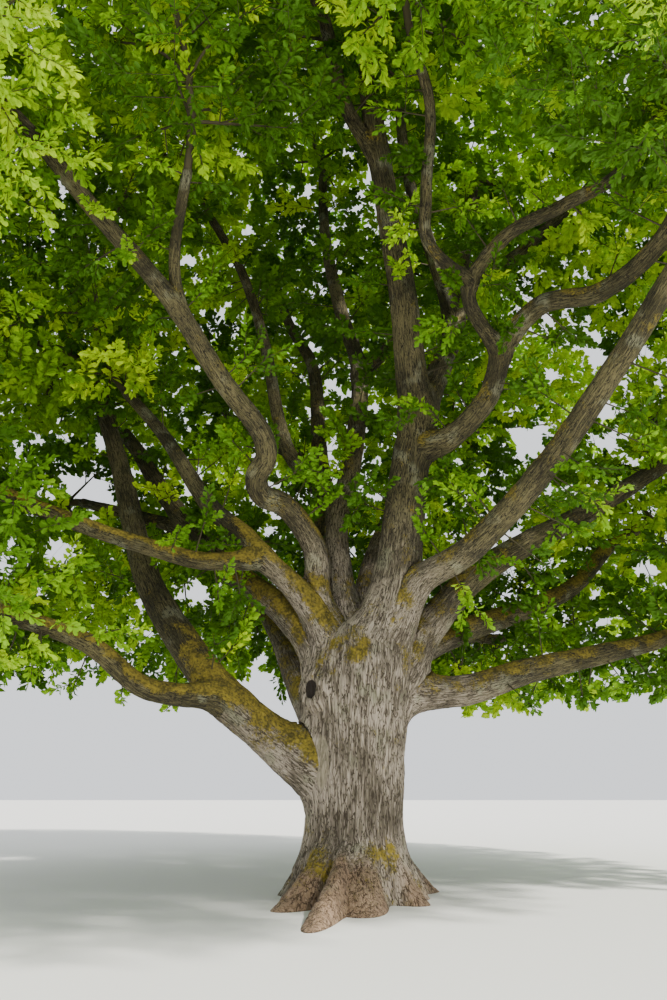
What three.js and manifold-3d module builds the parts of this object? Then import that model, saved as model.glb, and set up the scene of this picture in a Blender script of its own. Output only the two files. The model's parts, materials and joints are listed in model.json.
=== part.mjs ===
// An old, open-grown oak in full leaf: one short trunk with its root flare, the boughs that fan out from
// its fork, and a mass of foliage at the tip of each bough. Millimetres, +Z up. The origin is on the flat
// cut at ground level, under the middle of the trunk. +X is the right and -Y the near side of the tree.
// The tables are in metres and degrees: a heading turns from +X towards +Y, and a climb is the angle above
// level.
import * as THREE from "three";
import Module from "manifold-3d";

const wasm = await Module();
wasm.setup();

const METRE = 1000;
const GAP = 0.3; // millimetres between two solids that meet

// The trunk: its radius between the roots at each height, from the flat cut up to the domed fork, and how
// far it leans along X and Y for each metre up.
const TRUNK = {
  profile: [
    [0, 1.0], [0.16, 0.94], [0.4, 0.87], [0.75, 0.79], [1.15, 0.75], [1.7, 0.77], [2.3, 0.8],
    [2.9, 0.85], [3.35, 0.85], [3.7, 0.72], [3.92, 0.47], [4.02, 0.16],
  ],
  lean: [0.02, 0.01],
  atFork: 0.8, // radius where the boughs come out of it
  flareHeight: 0.9,
  flareFall: 1.6,
  rootBluntness: 2.4,
  leastTurn: 3, // degrees between two of its edges
};

// Surface roots: heading, reach from the middle of the trunk, and half the width in degrees.
const ROOTS = [
  [27, 1.5, 15], [60, 1.35, 13], [90, 1.6, 15], [128, 1.45, 15], [166, 1.18, 16], [203, 1.16, 12],
  [235, 1.87, 13], [259, 3.1, 7], [272, 2.0, 17], [316, 1.4, 13], [346, 1.15, 14],
];

// Boughs, in the order in which they leave the tree. Each starts on the middle line of what it grows from,
// at a height on the trunk or at a share of another bough's length. foot and tip are its radii, and its
// legs say how far it runs, which way and how steeply.
const BOUGHS = [
  { name: "leader", from: "trunk", at: 2.9, foot: 0.47, tip: 0.16,
    legs: [[1.7, 336, 67], [2.25, 324, 79], [0.95, 329, 79], [0.9, 246, 75], [1.25, 253, 70], [2.1, 248, 61],
      [1.65, 250, 59]] },
  { name: "bough_low_left", from: "trunk", at: 1.55, foot: 0.37, tip: 0.14,
    legs: [[1.1, 194, 26], [1.45, 190, 38], [1.25, 158, 48], [1.3, 143, 49], [0.95, 140, 60], [2.05, 138, 64],
      [1.85, 156, 66], [0.8, 170, 62]] },
  { name: "bough_low_right", from: "trunk", at: 2.6, foot: 0.33, tip: 0.11,
    legs: [[0.8, 14, 27], [1.2, 9, 5], [1.15, 10, 17], [1.35, 9, 13], [1.4, 13, 14], [1.5, 12, 21]] },
  { name: "bough_right", from: "trunk", at: 2.65, foot: 0.34, tip: 0.16,
    legs: [[1.05, 5, 42], [0.85, 23, 54], [1.4, 24, 46], [1.5, 19, 33], [1.35, 14, 28], [2.4, 11, 32]] },
  { name: "bough_right_front", from: "trunk", at: 3.1, foot: 0.27, tip: 0.13,
    legs: [[1.15, 327, 47], [0.85, 332, 59], [1.0, 327, 25], [1.8, 313, 33], [1.9, 307, 39], [1.85, 304, 40],
      [1.5, 332, 42]] },
  { name: "bough_left", from: "trunk", at: 2.9, foot: 0.28, tip: 0.12,
    legs: [[1.95, 172, 50], [1.3, 152, 37], [3.0, 141, 43], [1.6, 138, 49], [1.4, 141, 47], [2.2, 146, 54]] },
  { name: "bough_left_front", from: "trunk", at: 3.15, foot: 0.25, tip: 0.1,
    legs: [[1.44, 191, 65], [0.93, 243, 77], [0.92, 224, 41], [0.43, 213, 13], [0.31, 246, 46],
      [0.4, 308, 44], [0.37, 256, 51], [1.11, 224, 39], [1.36, 231, 39], [1.65, 226, 31], [1.14, 221, 37],
      [1.01, 223, 24]] },
  { name: "bough_left_middle", from: "trunk", at: 3.0, foot: 0.25, tip: 0.1,
    legs: [[1.44, 204, 58], [0.68, 192, 51], [0.6, 202, 39], [0.43, 172, 52], [0.83, 167, 41],
      [2.21, 151, 53], [1.34, 166, 49]] },
  { name: "bough_centre", from: "trunk", at: 3.3, foot: 0.25, tip: 0.11,
    legs: [[2.1, 126, 77], [0.8, 107, 82], [0.85, 44, 70], [2.85, 68, 75], [1.75, 124, 70], [2.8, 119, 73],
      [2.4, 101, 78]] },
  { name: "bough_back_high", from: "trunk", at: 3.1, foot: 0.26, tip: 0.11,
    legs: [[1.8, 117, 60], [2.65, 98, 63], [1.9, 98, 65], [2.65, 101, 68], [1.9, 132, 60], [1.9, 125, 66]] },
  { name: "bough_back_left", from: "trunk", at: 2.2, foot: 0.28, tip: 0.12,
    legs: [[1.1, 154, 40], [1.65, 118, 46], [1.0, 122, 44], [3.9, 119, 35]] },
  { name: "bough_back", from: "trunk", at: 2.55, foot: 0.29, tip: 0.12,
    legs: [[1.5, 80, 35], [2.4, 86, 31], [3.6, 78, 26]] },
  { name: "bough_back_right", from: "trunk", at: 2.75, foot: 0.3, tip: 0.13,
    legs: [[2.05, 39, 34], [4.1, 30, 22], [1.65, 24, 41], [1.4, 24, 30]] },
  { name: "bough_back_middle", from: "trunk", at: 3.2, foot: 0.25, tip: 0.12,
    legs: [[2.2, 70, 66], [2.6, 58, 54], [3.4, 60, 44]] },
  { name: "limb_back_low", from: "bough_back_right", at: 0.3, foot: 0.14, tip: 0.09,
    legs: [[0.7, 72, 10], [0.9, 60, 4], [1.3, 52, 8]] },
  { name: "limb_left_low", from: "bough_low_left", at: 0.21, foot: 0.2, tip: 0.1,
    legs: [[0.4, 212, 19], [0.65, 208, 1], [0.5, 204, 12], [1.0, 208, 34], [1.05, 218, 14], [0.7, 206, 14],
      [1.1, 207, 18]] },
  { name: "limb_left_level", from: "bough_left_middle", at: 0.36, foot: 0.16, tip: 0.1,
    legs: [[0.56, 204, -13], [0.56, 202, -4], [0.88, 196, 12], [0.8, 204, 12], [1.55, 207, 15],
      [1.41, 198, 20]] },
  { name: "limb_left_high", from: "bough_centre", at: 0.23, foot: 0.16, tip: 0.09,
    legs: [[0.75, 155, 48], [0.75, 167, 53], [0.75, 157, 69], [0.85, 149, 77], [1.5, 132, 74], [2.0, 161, 72],
      [1.6, 185, 62]] },
  { name: "limb_left_back", from: "bough_left", at: 0.36, foot: 0.16, tip: 0.1,
    legs: [[1.4, 140, 30], [2.8, 152, 20]] },
  { name: "limb_left_inner", from: "bough_left_front", at: 0.64, foot: 0.1, tip: 0.075,
    legs: [[0.8, 262, 62], [1.3, 290, 52]] },
  { name: "limb_right_front", from: "leader", at: 0.4, foot: 0.21, tip: 0.11,
    legs: [[0.75, 327, 8], [0.9, 318, 33], [0.85, 294, 49], [0.85, 306, 26], [1.05, 316, -12],
      [1.25, 298, 11], [1.5, 276, 36]] },
  { name: "leader_back", from: "leader", at: 0.45, foot: 0.26, tip: 0.13,
    legs: [[2.7, 50, 60], [1.55, 59, 68], [2.1, 58, 70], [1.9, 54, 67]] },
  { name: "limb_right_arch", from: "limb_right_front", at: 0.33, foot: 0.13, tip: 0.08,
    legs: [[1.15, 226, 42], [1.0, 317, 43], [0.9, 325, 9], [1.2, 304, -6], [2.2, 322, 56]] },
  { name: "limb_front_middle", from: "limb_right_arch", at: 0.2, foot: 0.11, tip: 0.075,
    legs: [[0.95, 213, 28], [0.75, 263, 58], [1.2, 271, 54], [0.9, 245, 34]] },
  { name: "leader_top", from: "leader_back", at: 0.4, foot: 0.17, tip: 0.1,
    legs: [[1.5, 215, 70], [2.2, 200, 76], [2.3, 250, 80]] },
  { name: "limb_right_high", from: "leader_back", at: 0.5, foot: 0.16, tip: 0.1,
    legs: [[1.3, 10, 40], [2.0, 355, 42], [1.2, 5, 50]] },
  { name: "limb_centre_back", from: "bough_centre", at: 0.48, foot: 0.15, tip: 0.1,
    legs: [[1.6, 40, 50], [2.0, 66, 58], [1.6, 80, 60]] },
  { name: "limb_front_high", from: "leader", at: 0.88, foot: 0.14, tip: 0.09,
    legs: [[1.0, 220, 40], [1.4, 250, 34], [1.3, 238, 26]] },
  { name: "limb_back_left_high", from: "bough_back_high", at: 0.42, foot: 0.15, tip: 0.1,
    legs: [[1.5, 138, 36], [2.2, 132, 34], [1.4, 126, 44]] },
];

// The crown's outer surface, an egg on its side that is taller above its middle than below it.
const CROWN = { middle: [0, 0.2, 10.4], wide: 10.6, deep: 10.3, above: 10.1, below: 7.8 };
const CROWN_POWERS = { above: 2.2, below: 8 }; // the underside is flatter than the dome

// Masses of foliage: the bough that each grows on from, the middle of its space, and how far that space
// reaches sideways at most. Two that are neighbours share the room between them.
const FOLIAGE = [
  ["low_left", "limb_left_low", [-6.8, -2.6, 4.4], 3.24],
  ["level_left", "limb_left_level", [-8.0, -2.4, 7.4], 2.92],
  ["back_left_low", "limb_left_back", [-7.3, 3.0, 6.3], 3.35],
  ["back_left", "bough_back_left", [-4.6, 7.0, 6.5], 3.67],
  ["back", "bough_back", [0.4, 8.2, 6.4], 3.67],
  ["back_low", "limb_back_low", [4.3, 5.1, 4.8], 2.81],
  ["back_right", "bough_back_right", [7.5, 5.2, 7.6], 3.56],
  ["low_right", "bough_low_right", [7.7, 1.3, 4.6], 3.0],
  ["right", "bough_right", [8.3, -0.2, 8.8], 3.35],
  ["right_front", "bough_right_front", [7.2, -4.9, 9.8], 3.35],
  ["left", "bough_low_left", [-7.8, 1.0, 10.4], 3.46],
  ["left_back_high", "bough_left", [-6.6, 5.2, 12.0], 3.56],
  ["left_front", "bough_left_front", [-6.2, -6.0, 10.4], 3.56],
  ["left_middle", "bough_left_middle", [-4.9, -1.2, 10.4], 3.24],
  ["left_inner", "limb_left_inner", [-2.5, -5.6, 12.0], 3.13],
  ["front", "limb_right_front", [3.9, -7.9, 9.9], 3.24],
  ["front_arch", "limb_right_arch", [5.4, -4.4, 12.9], 3.35],
  ["front_middle", "limb_front_middle", [0.8, -7.0, 12.6], 3.24],
  ["back_middle", "bough_back_middle", [4.0, 7.0, 10.9], 3.67],
  ["back_left_high", "limb_back_left_high", [-3.6, 7.4, 12.0], 3.56],
  ["front_high", "limb_front_high", [-2.7, -5.2, 15.2], 3.35],
  ["leader", "leader", [0.7, -3.9, 15.0], 3.46],
  ["left_high", "limb_left_high", [-4.8, -0.6, 15.0], 3.56],
  ["top", "bough_centre", [-1.4, 2.0, 18.4], 3.56],
  ["back_high", "bough_back_high", [-3.0, 5.4, 16.2], 3.35],
  ["top_right", "leader_back", [3.8, 2.9, 16.7], 3.56],
  ["top_front", "leader_top", [1.6, -0.9, 18.4], 3.46],
  ["right_high", "limb_right_high", [7.0, 0.9, 13.2], 3.56],
  ["centre_back", "limb_centre_back", [1.8, 6.3, 14.5], 3.46],
];

// How a mass grows: a stem to the middle of its space, main twigs out to points spread through that space,
// and leaves along each of them, every one as large as a spray of the real ones.
const GROWTH = {
  flatness: 0.82, // height of a space against its width
  clearance: 0.02,
  twigs: 5,
  inner: 0.74, // share of a space that its twigs reach, so that there is room for the leaves at their ends
  candidates: 24,
  mostTries: 4000,
  detour: 0.35,
  bend: 0.38,
  straighten: 0.4,
  stemFoot: 0.85, // radius against the tip of the bough that it grows on from
  stemTip: 0.045,
  stemReach: 0.8, // share of the way to the middle of its space
  twigFoot: 0.5, // radius against what the twig springs from
  twigTip: 0.014,
  twigSides: 3,
  twigSteps: 2,
  jointsAStep: 2,
  firstJoint: 1.25, // in joints from a twig's foot
  joined: 0.3, // share of a twig's length that may lie against what it springs from
  leaves: 8,
  leafLength: 2.1,
  leafWidth: 1.6,
  leafThickness: 0.06,
  leafRoot: 0.006, // width and thickness at its root, which lies on the middle line of its twig
  widest: 0.45,
  lastLeaf: 0.975, // share of a twig's length at which its end leaf is rooted
  sideways: 1.1, // how far a leaf leans away from its twig, and how freely
  loose: 1.1,
  lift: 0.1,
  tilt: 0.5,
  turns: 28,
  apart: 1.27, // least distance from the middle of a leaf to the middle of the next
};

const BARK = new THREE.MeshStandardMaterial({ color: 0x7d7366, roughness: 0.95, metalness: 0 });
const LEAVES = new THREE.MeshStandardMaterial({ color: 0x5f8a22, roughness: 0.6, metalness: 0 });

const { degToRad, lerp } = THREE.MathUtils;

function direction(heading, climb) {
  return new THREE.Vector3(
    Math.cos(degToRad(climb)) * Math.cos(degToRad(heading)),
    Math.cos(degToRad(climb)) * Math.sin(degToRad(heading)),
    Math.sin(degToRad(climb)),
  );
}

function metres(x, y, z) {
  return new THREE.Vector3(x, y, z).multiplyScalar(METRE);
}

const RANDOM = { spread: 7919, first: 12345, factor: 48271, modulus: 2147483647 };

// Random numbers from 0 to 1, the same ones for the same seed.
function seeded(seed) {
  let state = seed * RANDOM.spread + RANDOM.first;
  return () => {
    state = (state * RANDOM.factor) % RANDOM.modulus;
    return state / RANDOM.modulus;
  };
}

// A closed skin over rings of points, which all turn the same way round their middle line and have as many
// points as each other, apart from a last one that may be a single point.
function loft(rings) {
  const sides = rings[0].length;
  const last = (rings.length - 1) * sides;
  const pointed = rings.at(-1).length === 1;
  const faces = [];
  for (let start = 0; start < last; start += sides) {
    for (let side = 0; side < sides; side++) {
      const next = (side + 1) % sides;
      if (pointed && start + sides === last) {
        faces.push(start + side, start + next, last);
      } else {
        faces.push(start + side, start + next, start + sides + next);
        faces.push(start + side, start + sides + next, start + sides + side);
      }
    }
  }
  for (let side = 1; side < sides - 1; side++) {
    faces.push(0, side + 1, side);
    if (!pointed) faces.push(last, last + side, last + side + 1);
  }
  const geometry = new THREE.BufferGeometry().setFromPoints(rings.flat());
  geometry.setIndex(faces);
  return geometry;
}

function toSolid(geometry) {
  const mesh = new wasm.Mesh({
    numProp: 3,
    vertProperties: Float32Array.from(geometry.getAttribute("position").array),
    triVerts: Uint32Array.from(geometry.getIndex().array),
  });
  return new wasm.Manifold(mesh);
}

function toGeometry(solid) {
  const { vertProperties, triVerts } = solid.getMesh();
  const geometry = new THREE.BufferGeometry();
  geometry.setAttribute("position", new THREE.BufferAttribute(vertProperties, 3));
  geometry.setIndex(new THREE.BufferAttribute(triVerts, 1));
  return geometry;
}

// What a cut or a join leaves as loose scrap is dropped.
function largest(solid) {
  return solid.decompose().reduce((best, piece) => (piece.volume() > best.volume() ? piece : best));
}

// The trunk

function trunkMiddle(height) {
  return metres(TRUNK.lean[0] * height, TRUNK.lean[1] * height, height);
}

// Headings of the trunk's edges: one on each root, one on each of its shoulders and one in the valley after
// it, but none that is close behind another.
function trunkHeadings() {
  const headings = ROOTS.flatMap(([heading, , half], index) => {
    const next = ROOTS[(index + 1) % ROOTS.length][0] + (index === ROOTS.length - 1 ? 360 : 0);
    const wanted = [heading - half, heading, heading + half, (heading + next) / 2];
    return wanted.map((edge) => THREE.MathUtils.euclideanModulo(edge, 360));
  });
  headings.sort((one, other) => one - other);
  return headings.filter((edge, index) => index === 0 || edge - headings[index - 1] > TRUNK.leastTurn);
}

function trunkRadius(heading, height, between) {
  const fade = Math.max(0, 1 - height / TRUNK.flareHeight) ** TRUNK.flareFall;
  const root = ROOTS.reduce((most, [middle, reach, half]) => {
    const away = THREE.MathUtils.euclideanModulo(heading - middle + 180, 360) - 180;
    const ridge = Math.exp(-(Math.abs(away / half) ** TRUNK.rootBluntness));
    return Math.max(most, (reach - TRUNK.profile[0][1]) * ridge);
  }, 0);
  return between + root * fade;
}

// swell makes the tool that cuts the boughs' feet stand out by that much all over.
function trunkSolid(swell) {
  const rings = TRUNK.profile.map(([height, between]) => {
    const middle = trunkMiddle(height);
    return trunkHeadings().map((heading) => {
      const radius = trunkRadius(heading, height, between) * METRE + swell;
      return direction(heading, 0).multiplyScalar(radius).add(middle).add(new THREE.Vector3(0, 0, swell));
    });
  });
  return toSolid(loft(rings));
}

// The boughs

const BOUGH_SIDES = 7;
const RINGS_A_LEG = 1.3;
const TAPER = 0.8; // power of a bough's length by which its radius falls from foot to tip
const COLLAR = { height: 0.2, length: 1.6 }; // both against the radius at the foot
const SEAM = [0.31, 0.17, 0.93]; // the side on which rings start, along which no bough sets off
const SAMPLE_STEP = 0.25;

function middleLine(start, legs) {
  const points = [start.clone()];
  for (const [length, heading, climb] of legs) {
    points.push(points.at(-1).clone().addScaledVector(direction(heading, climb), length * METRE));
  }
  return new THREE.CatmullRomCurve3(points, false, "centripetal");
}

// Metres of radius at a share of a bough's length, with a collar where it leaves what it grows from.
function boughRadius({ foot, tip, inset, length }, share) {
  const fromFoot = share * length - inset;
  const collar = COLLAR.height * foot * Math.exp(-((fromFoot / (COLLAR.length * foot)) ** 2));
  return lerp(foot, tip, share ** TAPER) + collar;
}

// Rings follow the line without twisting, closer together where its legs are short. The radius goes by the
// step.
function tube(line, steps, sides, radiusAt) {
  const out = new THREE.Vector3(...SEAM);
  const rings = [];
  for (let step = 0; step <= steps; step++) {
    const middle = line.getPoint(step / steps);
    const tangent = line.getTangent(step / steps);
    out.addScaledVector(tangent, -out.dot(tangent)).normalize();
    const sideways = new THREE.Vector3().crossVectors(tangent, out);
    const ring = [];
    for (let side = 0; side < sides; side++) {
      const turn = (2 * Math.PI * side) / sides;
      const spoke = out.clone().multiplyScalar(Math.cos(turn)).addScaledVector(sideways, Math.sin(turn));
      ring.push(spoke.multiplyScalar(radiusAt(step / steps)).add(middle));
    }
    rings.push(ring);
  }
  return toSolid(loft(rings));
}

function boughSolid(bough, swell) {
  const steps = Math.ceil(bough.legs.length * RINGS_A_LEG);
  const lengths = bough.line.getLengths();
  return tube(bough.line, steps, BOUGH_SIDES, (step) => {
    const share = lengths[Math.round(step * (lengths.length - 1))] / lengths.at(-1);
    return boughRadius(bough, share) * METRE + swell;
  });
}

function layOutBoughs() {
  const boughs = new Map();
  for (const row of BOUGHS) {
    const parent = boughs.get(row.from);
    const start = parent ? parent.line.getPointAt(row.at) : trunkMiddle(row.at);
    const line = middleLine(start, row.legs);
    const inset = parent ? boughRadius(parent, row.at) : TRUNK.atFork;
    boughs.set(row.name, { ...row, line, inset, length: line.getLength() / METRE });
  }
  return boughs;
}

// The masses of foliage

// Planes halfway to each neighbouring mass, the crown's surface and the mass's own reach bound its space.
function spaceOf(index) {
  const [, , middle, reach] = FOLIAGE[index];
  const own = new THREE.Vector3(...middle);
  const planes = FOLIAGE.filter((_, other) => other !== index).map(([, , otherMiddle, otherReach]) => {
    const away = new THREE.Vector3(...otherMiddle).sub(own);
    const distance = away.length();
    const share = (distance ** 2 + reach ** 2 - otherReach ** 2) / (2 * distance);
    return { normal: away.divideScalar(distance), offset: share - GROWTH.clearance };
  });
  return (point) => {
    const fromOwn = point.clone().sub(own);
    const own2 = (fromOwn.x ** 2 + fromOwn.y ** 2 + (fromOwn.z / GROWTH.flatness) ** 2) / reach ** 2;
    const [x, y, z] = CROWN.middle;
    const half = point.z > z ? "above" : "below";
    const high = (Math.abs(point.z - z) / CROWN[half]) ** CROWN_POWERS[half];
    const crown = ((point.x - x) / CROWN.wide) ** 2 + ((point.y - y) / CROWN.deep) ** 2 + high;
    return own2 < 1 && crown < 1 && planes.every(({ normal, offset }) => fromOwn.dot(normal) < offset);
  };
}

function spread(space, index, count, random) {
  const [, , middle, reach] = FOLIAGE[index];
  const points = [];
  while (points.length < count) {
    let best = null;
    let widest = -1;
    for (let tries = 0, found = 0; found < GROWTH.candidates && tries < GROWTH.mostTries; tries++) {
      const offset = new THREE.Vector3(random() * 2 - 1, random() * 2 - 1, random() * 2 - 1);
      const point = new THREE.Vector3(...middle).addScaledVector(offset, reach);
      if (!space(point)) continue;
      point.lerp(new THREE.Vector3(...middle), 1 - GROWTH.inner);
      found++;
      const apart = Math.min(...points.map((other) => other.distanceTo(point)));
      if (apart > widest) {
        widest = apart;
        best = point;
      }
    }
    points.push(best);
  }
  return points;
}

// Round samples of every bough, which twigs and leaves keep clear of.
function boughSamples(boughs) {
  return [...boughs.values()].flatMap((bough) => {
    const steps = Math.ceil(bough.length / SAMPLE_STEP);
    return Array.from({ length: steps + 1 }, (_, step) => ({
      point: bough.line.getPointAt(step / steps).divideScalar(METRE),
      radius: boughRadius(bough, step / steps),
    }));
  });
}

function touches(samples, from, to, room) {
  const span = new THREE.Line3(from, to);
  const nearest = new THREE.Vector3();
  return samples.some(({ point, radius }) => {
    return span.closestPointToPoint(point, true, nearest).distanceTo(point) < radius + room;
  });
}

// A thin blade with a ridge along its back: narrow at its root, widest near its middle, and pointed.
function leafSolid(root, along, across) {
  const up = new THREE.Vector3().crossVectors(along, across);
  const ring = (distance, width, thickness) => {
    const middle = root.clone().addScaledVector(along, distance);
    return [
      middle.clone().addScaledVector(across, width / 2),
      middle.clone().addScaledVector(up, thickness),
      middle.clone().addScaledVector(across, -width / 2),
    ].map((point) => point.multiplyScalar(METRE));
  };
  const tip = root.clone().addScaledVector(along, GROWTH.leafLength).multiplyScalar(METRE);
  const widest = GROWTH.leafLength * GROWTH.widest;
  const { leafWidth, leafThickness, leafRoot } = GROWTH;
  return toSolid(loft([ring(0, leafRoot, leafRoot), ring(widest, leafWidth, leafThickness), [tip]]));
}

// A leaf's root is on its twig and it points onwards and to one side. It is turned until it fits the space
// and stands clear of the leaves that are there already, whose middles are kept in placed.
function leafOn(twig, share, side, space, samples, placed, random) {
  const root = onTwig(twig, share);
  const onwards = twig.getTangent(share);
  for (let turn = 0; turn < GROWTH.turns; turn++) {
    const loose = new THREE.Vector3(random() - 0.5, random() - 0.5, random() - 0.5 + GROWTH.lift);
    const level = new THREE.Vector3(-onwards.y, onwards.x, 0).normalize();
    const along = onwards.clone().addScaledVector(loose, GROWTH.loose);
    if (share < GROWTH.lastLeaf) along.addScaledVector(level, side * GROWTH.sideways);
    along.normalize();
    const tilt = (random() - 0.5) * GROWTH.tilt;
    const across = share < GROWTH.lastLeaf ? onwards.clone() : new THREE.Vector3(-along.y, along.x, 0);
    across.z += tilt;
    across.addScaledVector(along, -across.dot(along)).normalize();
    const tip = root.clone().addScaledVector(along, GROWTH.leafLength);
    const middle = root.clone().lerp(tip, GROWTH.widest);
    const left = middle.clone().addScaledVector(across, GROWTH.leafWidth / 2);
    const right = middle.clone().addScaledVector(across, -GROWTH.leafWidth / 2);
    if (![tip, left, right].every(space)) continue;
    if (placed.some((other) => other.distanceTo(middle) < GROWTH.apart)) continue;
    if (touches(samples, root, tip, GROWTH.leafWidth / 2)) continue;
    placed.push(middle);
    return leafSolid(root, along, across);
  }
  return null;
}

function twigSolid(line, foot, tip) {
  const scaled = new THREE.QuadraticBezierCurve3(
    line.v0.clone().multiplyScalar(METRE),
    line.v1.clone().multiplyScalar(METRE),
    line.v2.clone().multiplyScalar(METRE),
  );
  return tube(scaled, GROWTH.twigSteps, GROWTH.twigSides, (share) => lerp(foot, tip, share) * METRE);
}

// A point on the straight stretches between the rings of a twig.
function onTwig(line, share) {
  const at = share * GROWTH.twigSteps;
  const ring = Math.min(Math.floor(at), GROWTH.twigSteps - 1);
  const next = line.getPoint((ring + 1) / GROWTH.twigSteps);
  return line.getPoint(ring / GROWTH.twigSteps).lerp(next, at - ring);
}

// Where later twigs can spring from this one.
function joints(line, before, foot, tip) {
  const count = GROWTH.jointsAStep * GROWTH.twigSteps;
  return Array.from({ length: count - 1 }, (_, joint) => {
    const share = (joint + GROWTH.firstJoint) / count;
    return {
      point: onTwig(line, share),
      way: line.getTangent(share),
      path: before + line.getLength() * share,
      radius: lerp(foot, tip, share),
    };
  });
}

function growMass(index, boughs, samples) {
  const [, boughName, middle, reach] = FOLIAGE[index];
  const random = seeded(index + 1);
  const space = spaceOf(index);
  const { line, tip } = boughs.get(boughName);
  const way = line.getTangentAt(1);
  const start = line.getPointAt(1).addScaledVector(way, GAP).divideScalar(METRE);
  const centre = new THREE.Vector3(...middle);
  const toCentre = start.distanceTo(centre);
  const stem = new THREE.QuadraticBezierCurve3(
    start,
    start.clone().addScaledVector(way, toCentre * GROWTH.bend),
    start.clone().lerp(centre, GROWTH.stemReach),
  );
  let solid = twigSolid(stem, tip * GROWTH.stemFoot, GROWTH.stemTip);
  const grown = joints(stem, 0, tip * GROWTH.stemFoot, GROWTH.stemTip);
  const placed = [];
  for (const target of spread(space, index, GROWTH.twigs, random)) {
    const cost = (joint) => joint.point.distanceTo(target) + GROWTH.detour * joint.path;
    const from = grown.reduce((best, joint) => (cost(joint) < cost(best) ? joint : best));
    const distance = from.point.distanceTo(target);
    const bent = from.point.clone().addScaledVector(from.way, distance * GROWTH.bend);
    const straight = from.point.clone().lerp(target, 0.5);
    bent.lerp(straight, GROWTH.straighten);
    const twig = new THREE.QuadraticBezierCurve3(from.point, bent, target);
    const foot = Math.max(from.radius * GROWTH.twigFoot, GROWTH.twigTip);
    if (touches(samples, twig.getPointAt(GROWTH.joined), target, foot)) continue;
    solid = solid.add(twigSolid(twig, foot, GROWTH.twigTip));
    grown.push(...joints(twig, from.path, foot, GROWTH.twigTip));
    for (let leaf = 0; leaf < GROWTH.leaves; leaf++) {
      const share = GROWTH.lastLeaf - leaf / (GROWTH.leaves + 0.5);
      const made = leafOn(twig, share, leaf % 2 ? 1 : -1, space, samples, placed, random);
      if (made) solid = solid.add(made);
    }
  }
  return largest(solid);
}

// The whole tree

function named(name, solid, material) {
  const mesh = new THREE.Mesh(toGeometry(solid), material);
  mesh.name = name;
  return mesh;
}

const tree = new THREE.Group();
tree.add(named("trunk", trunkSolid(0), BARK));

const boughs = layOutBoughs();
const cutters = [trunkSolid(GAP)];
for (const [name, bough] of boughs) {
  const cut = cutters.reduce((solid, cutter) => solid.subtract(cutter), boughSolid(bough, 0));
  tree.add(named(name, largest(cut), BARK));
  cutters.push(boughSolid(bough, GAP));
}

const samples = boughSamples(boughs);
FOLIAGE.forEach(([name], index) => {
  tree.add(named(`foliage_${name}`, growMass(index, boughs, samples), LEAVES));
});

export default tree;
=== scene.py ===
"""An old, open-grown oak in full leaf: fissured bark over its limbs, finer twigs and sprays of leaves.

Metres, Z up. The origin is under the middle of the trunk at ground level, +X is the tree's right and -Y its
near side. Headings turn from +X towards +Y, and climbs are angles above level, both in degrees."""

import json
import math

import bpy
import numpy as np
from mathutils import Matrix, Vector

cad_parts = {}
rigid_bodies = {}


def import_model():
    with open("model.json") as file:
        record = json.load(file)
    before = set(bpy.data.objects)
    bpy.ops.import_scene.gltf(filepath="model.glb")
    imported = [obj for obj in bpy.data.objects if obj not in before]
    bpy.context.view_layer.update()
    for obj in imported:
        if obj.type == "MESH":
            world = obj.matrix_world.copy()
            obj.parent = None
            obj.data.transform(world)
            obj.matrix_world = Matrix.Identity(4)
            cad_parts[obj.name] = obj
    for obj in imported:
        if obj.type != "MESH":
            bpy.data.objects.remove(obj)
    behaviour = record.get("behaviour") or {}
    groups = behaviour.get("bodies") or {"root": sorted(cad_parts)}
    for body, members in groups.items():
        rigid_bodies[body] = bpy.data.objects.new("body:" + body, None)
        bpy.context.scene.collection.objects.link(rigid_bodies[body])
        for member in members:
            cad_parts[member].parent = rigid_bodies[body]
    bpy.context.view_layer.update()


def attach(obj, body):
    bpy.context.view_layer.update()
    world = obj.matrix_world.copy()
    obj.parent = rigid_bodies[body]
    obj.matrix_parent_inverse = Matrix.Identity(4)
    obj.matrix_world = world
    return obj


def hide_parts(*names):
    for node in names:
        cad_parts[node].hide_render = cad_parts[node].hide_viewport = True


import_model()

# The trunk: its radius between the roots at each height, its lean for each metre up, and its surface roots
# as heading, reach from the middle and half the width in degrees.
TRUNK_PROFILE = [
    (0, 1.0), (0.16, 0.94), (0.4, 0.87), (0.75, 0.79), (1.15, 0.75), (1.7, 0.77), (2.3, 0.8),
    (2.9, 0.85), (3.35, 0.85), (3.7, 0.72), (3.92, 0.47), (4.02, 0.16),
]
TRUNK_LEAN = np.array([0.02, 0.01])
TRUNK_AT_FORK = 0.8
FLARE_HEIGHT = 0.9
FLARE_FALL = 1.6
ROOTS = [
    (27, 1.5, 15), (60, 1.35, 13), (90, 1.6, 15), (128, 1.45, 15), (166, 1.18, 16), (203, 1.16, 12),
    (235, 1.87, 13), (259, 3.1, 7), (272, 2.0, 17), (316, 1.4, 13), (346, 1.15, 14),
]
ROOT_BLUNTNESS = 2.4

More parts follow.
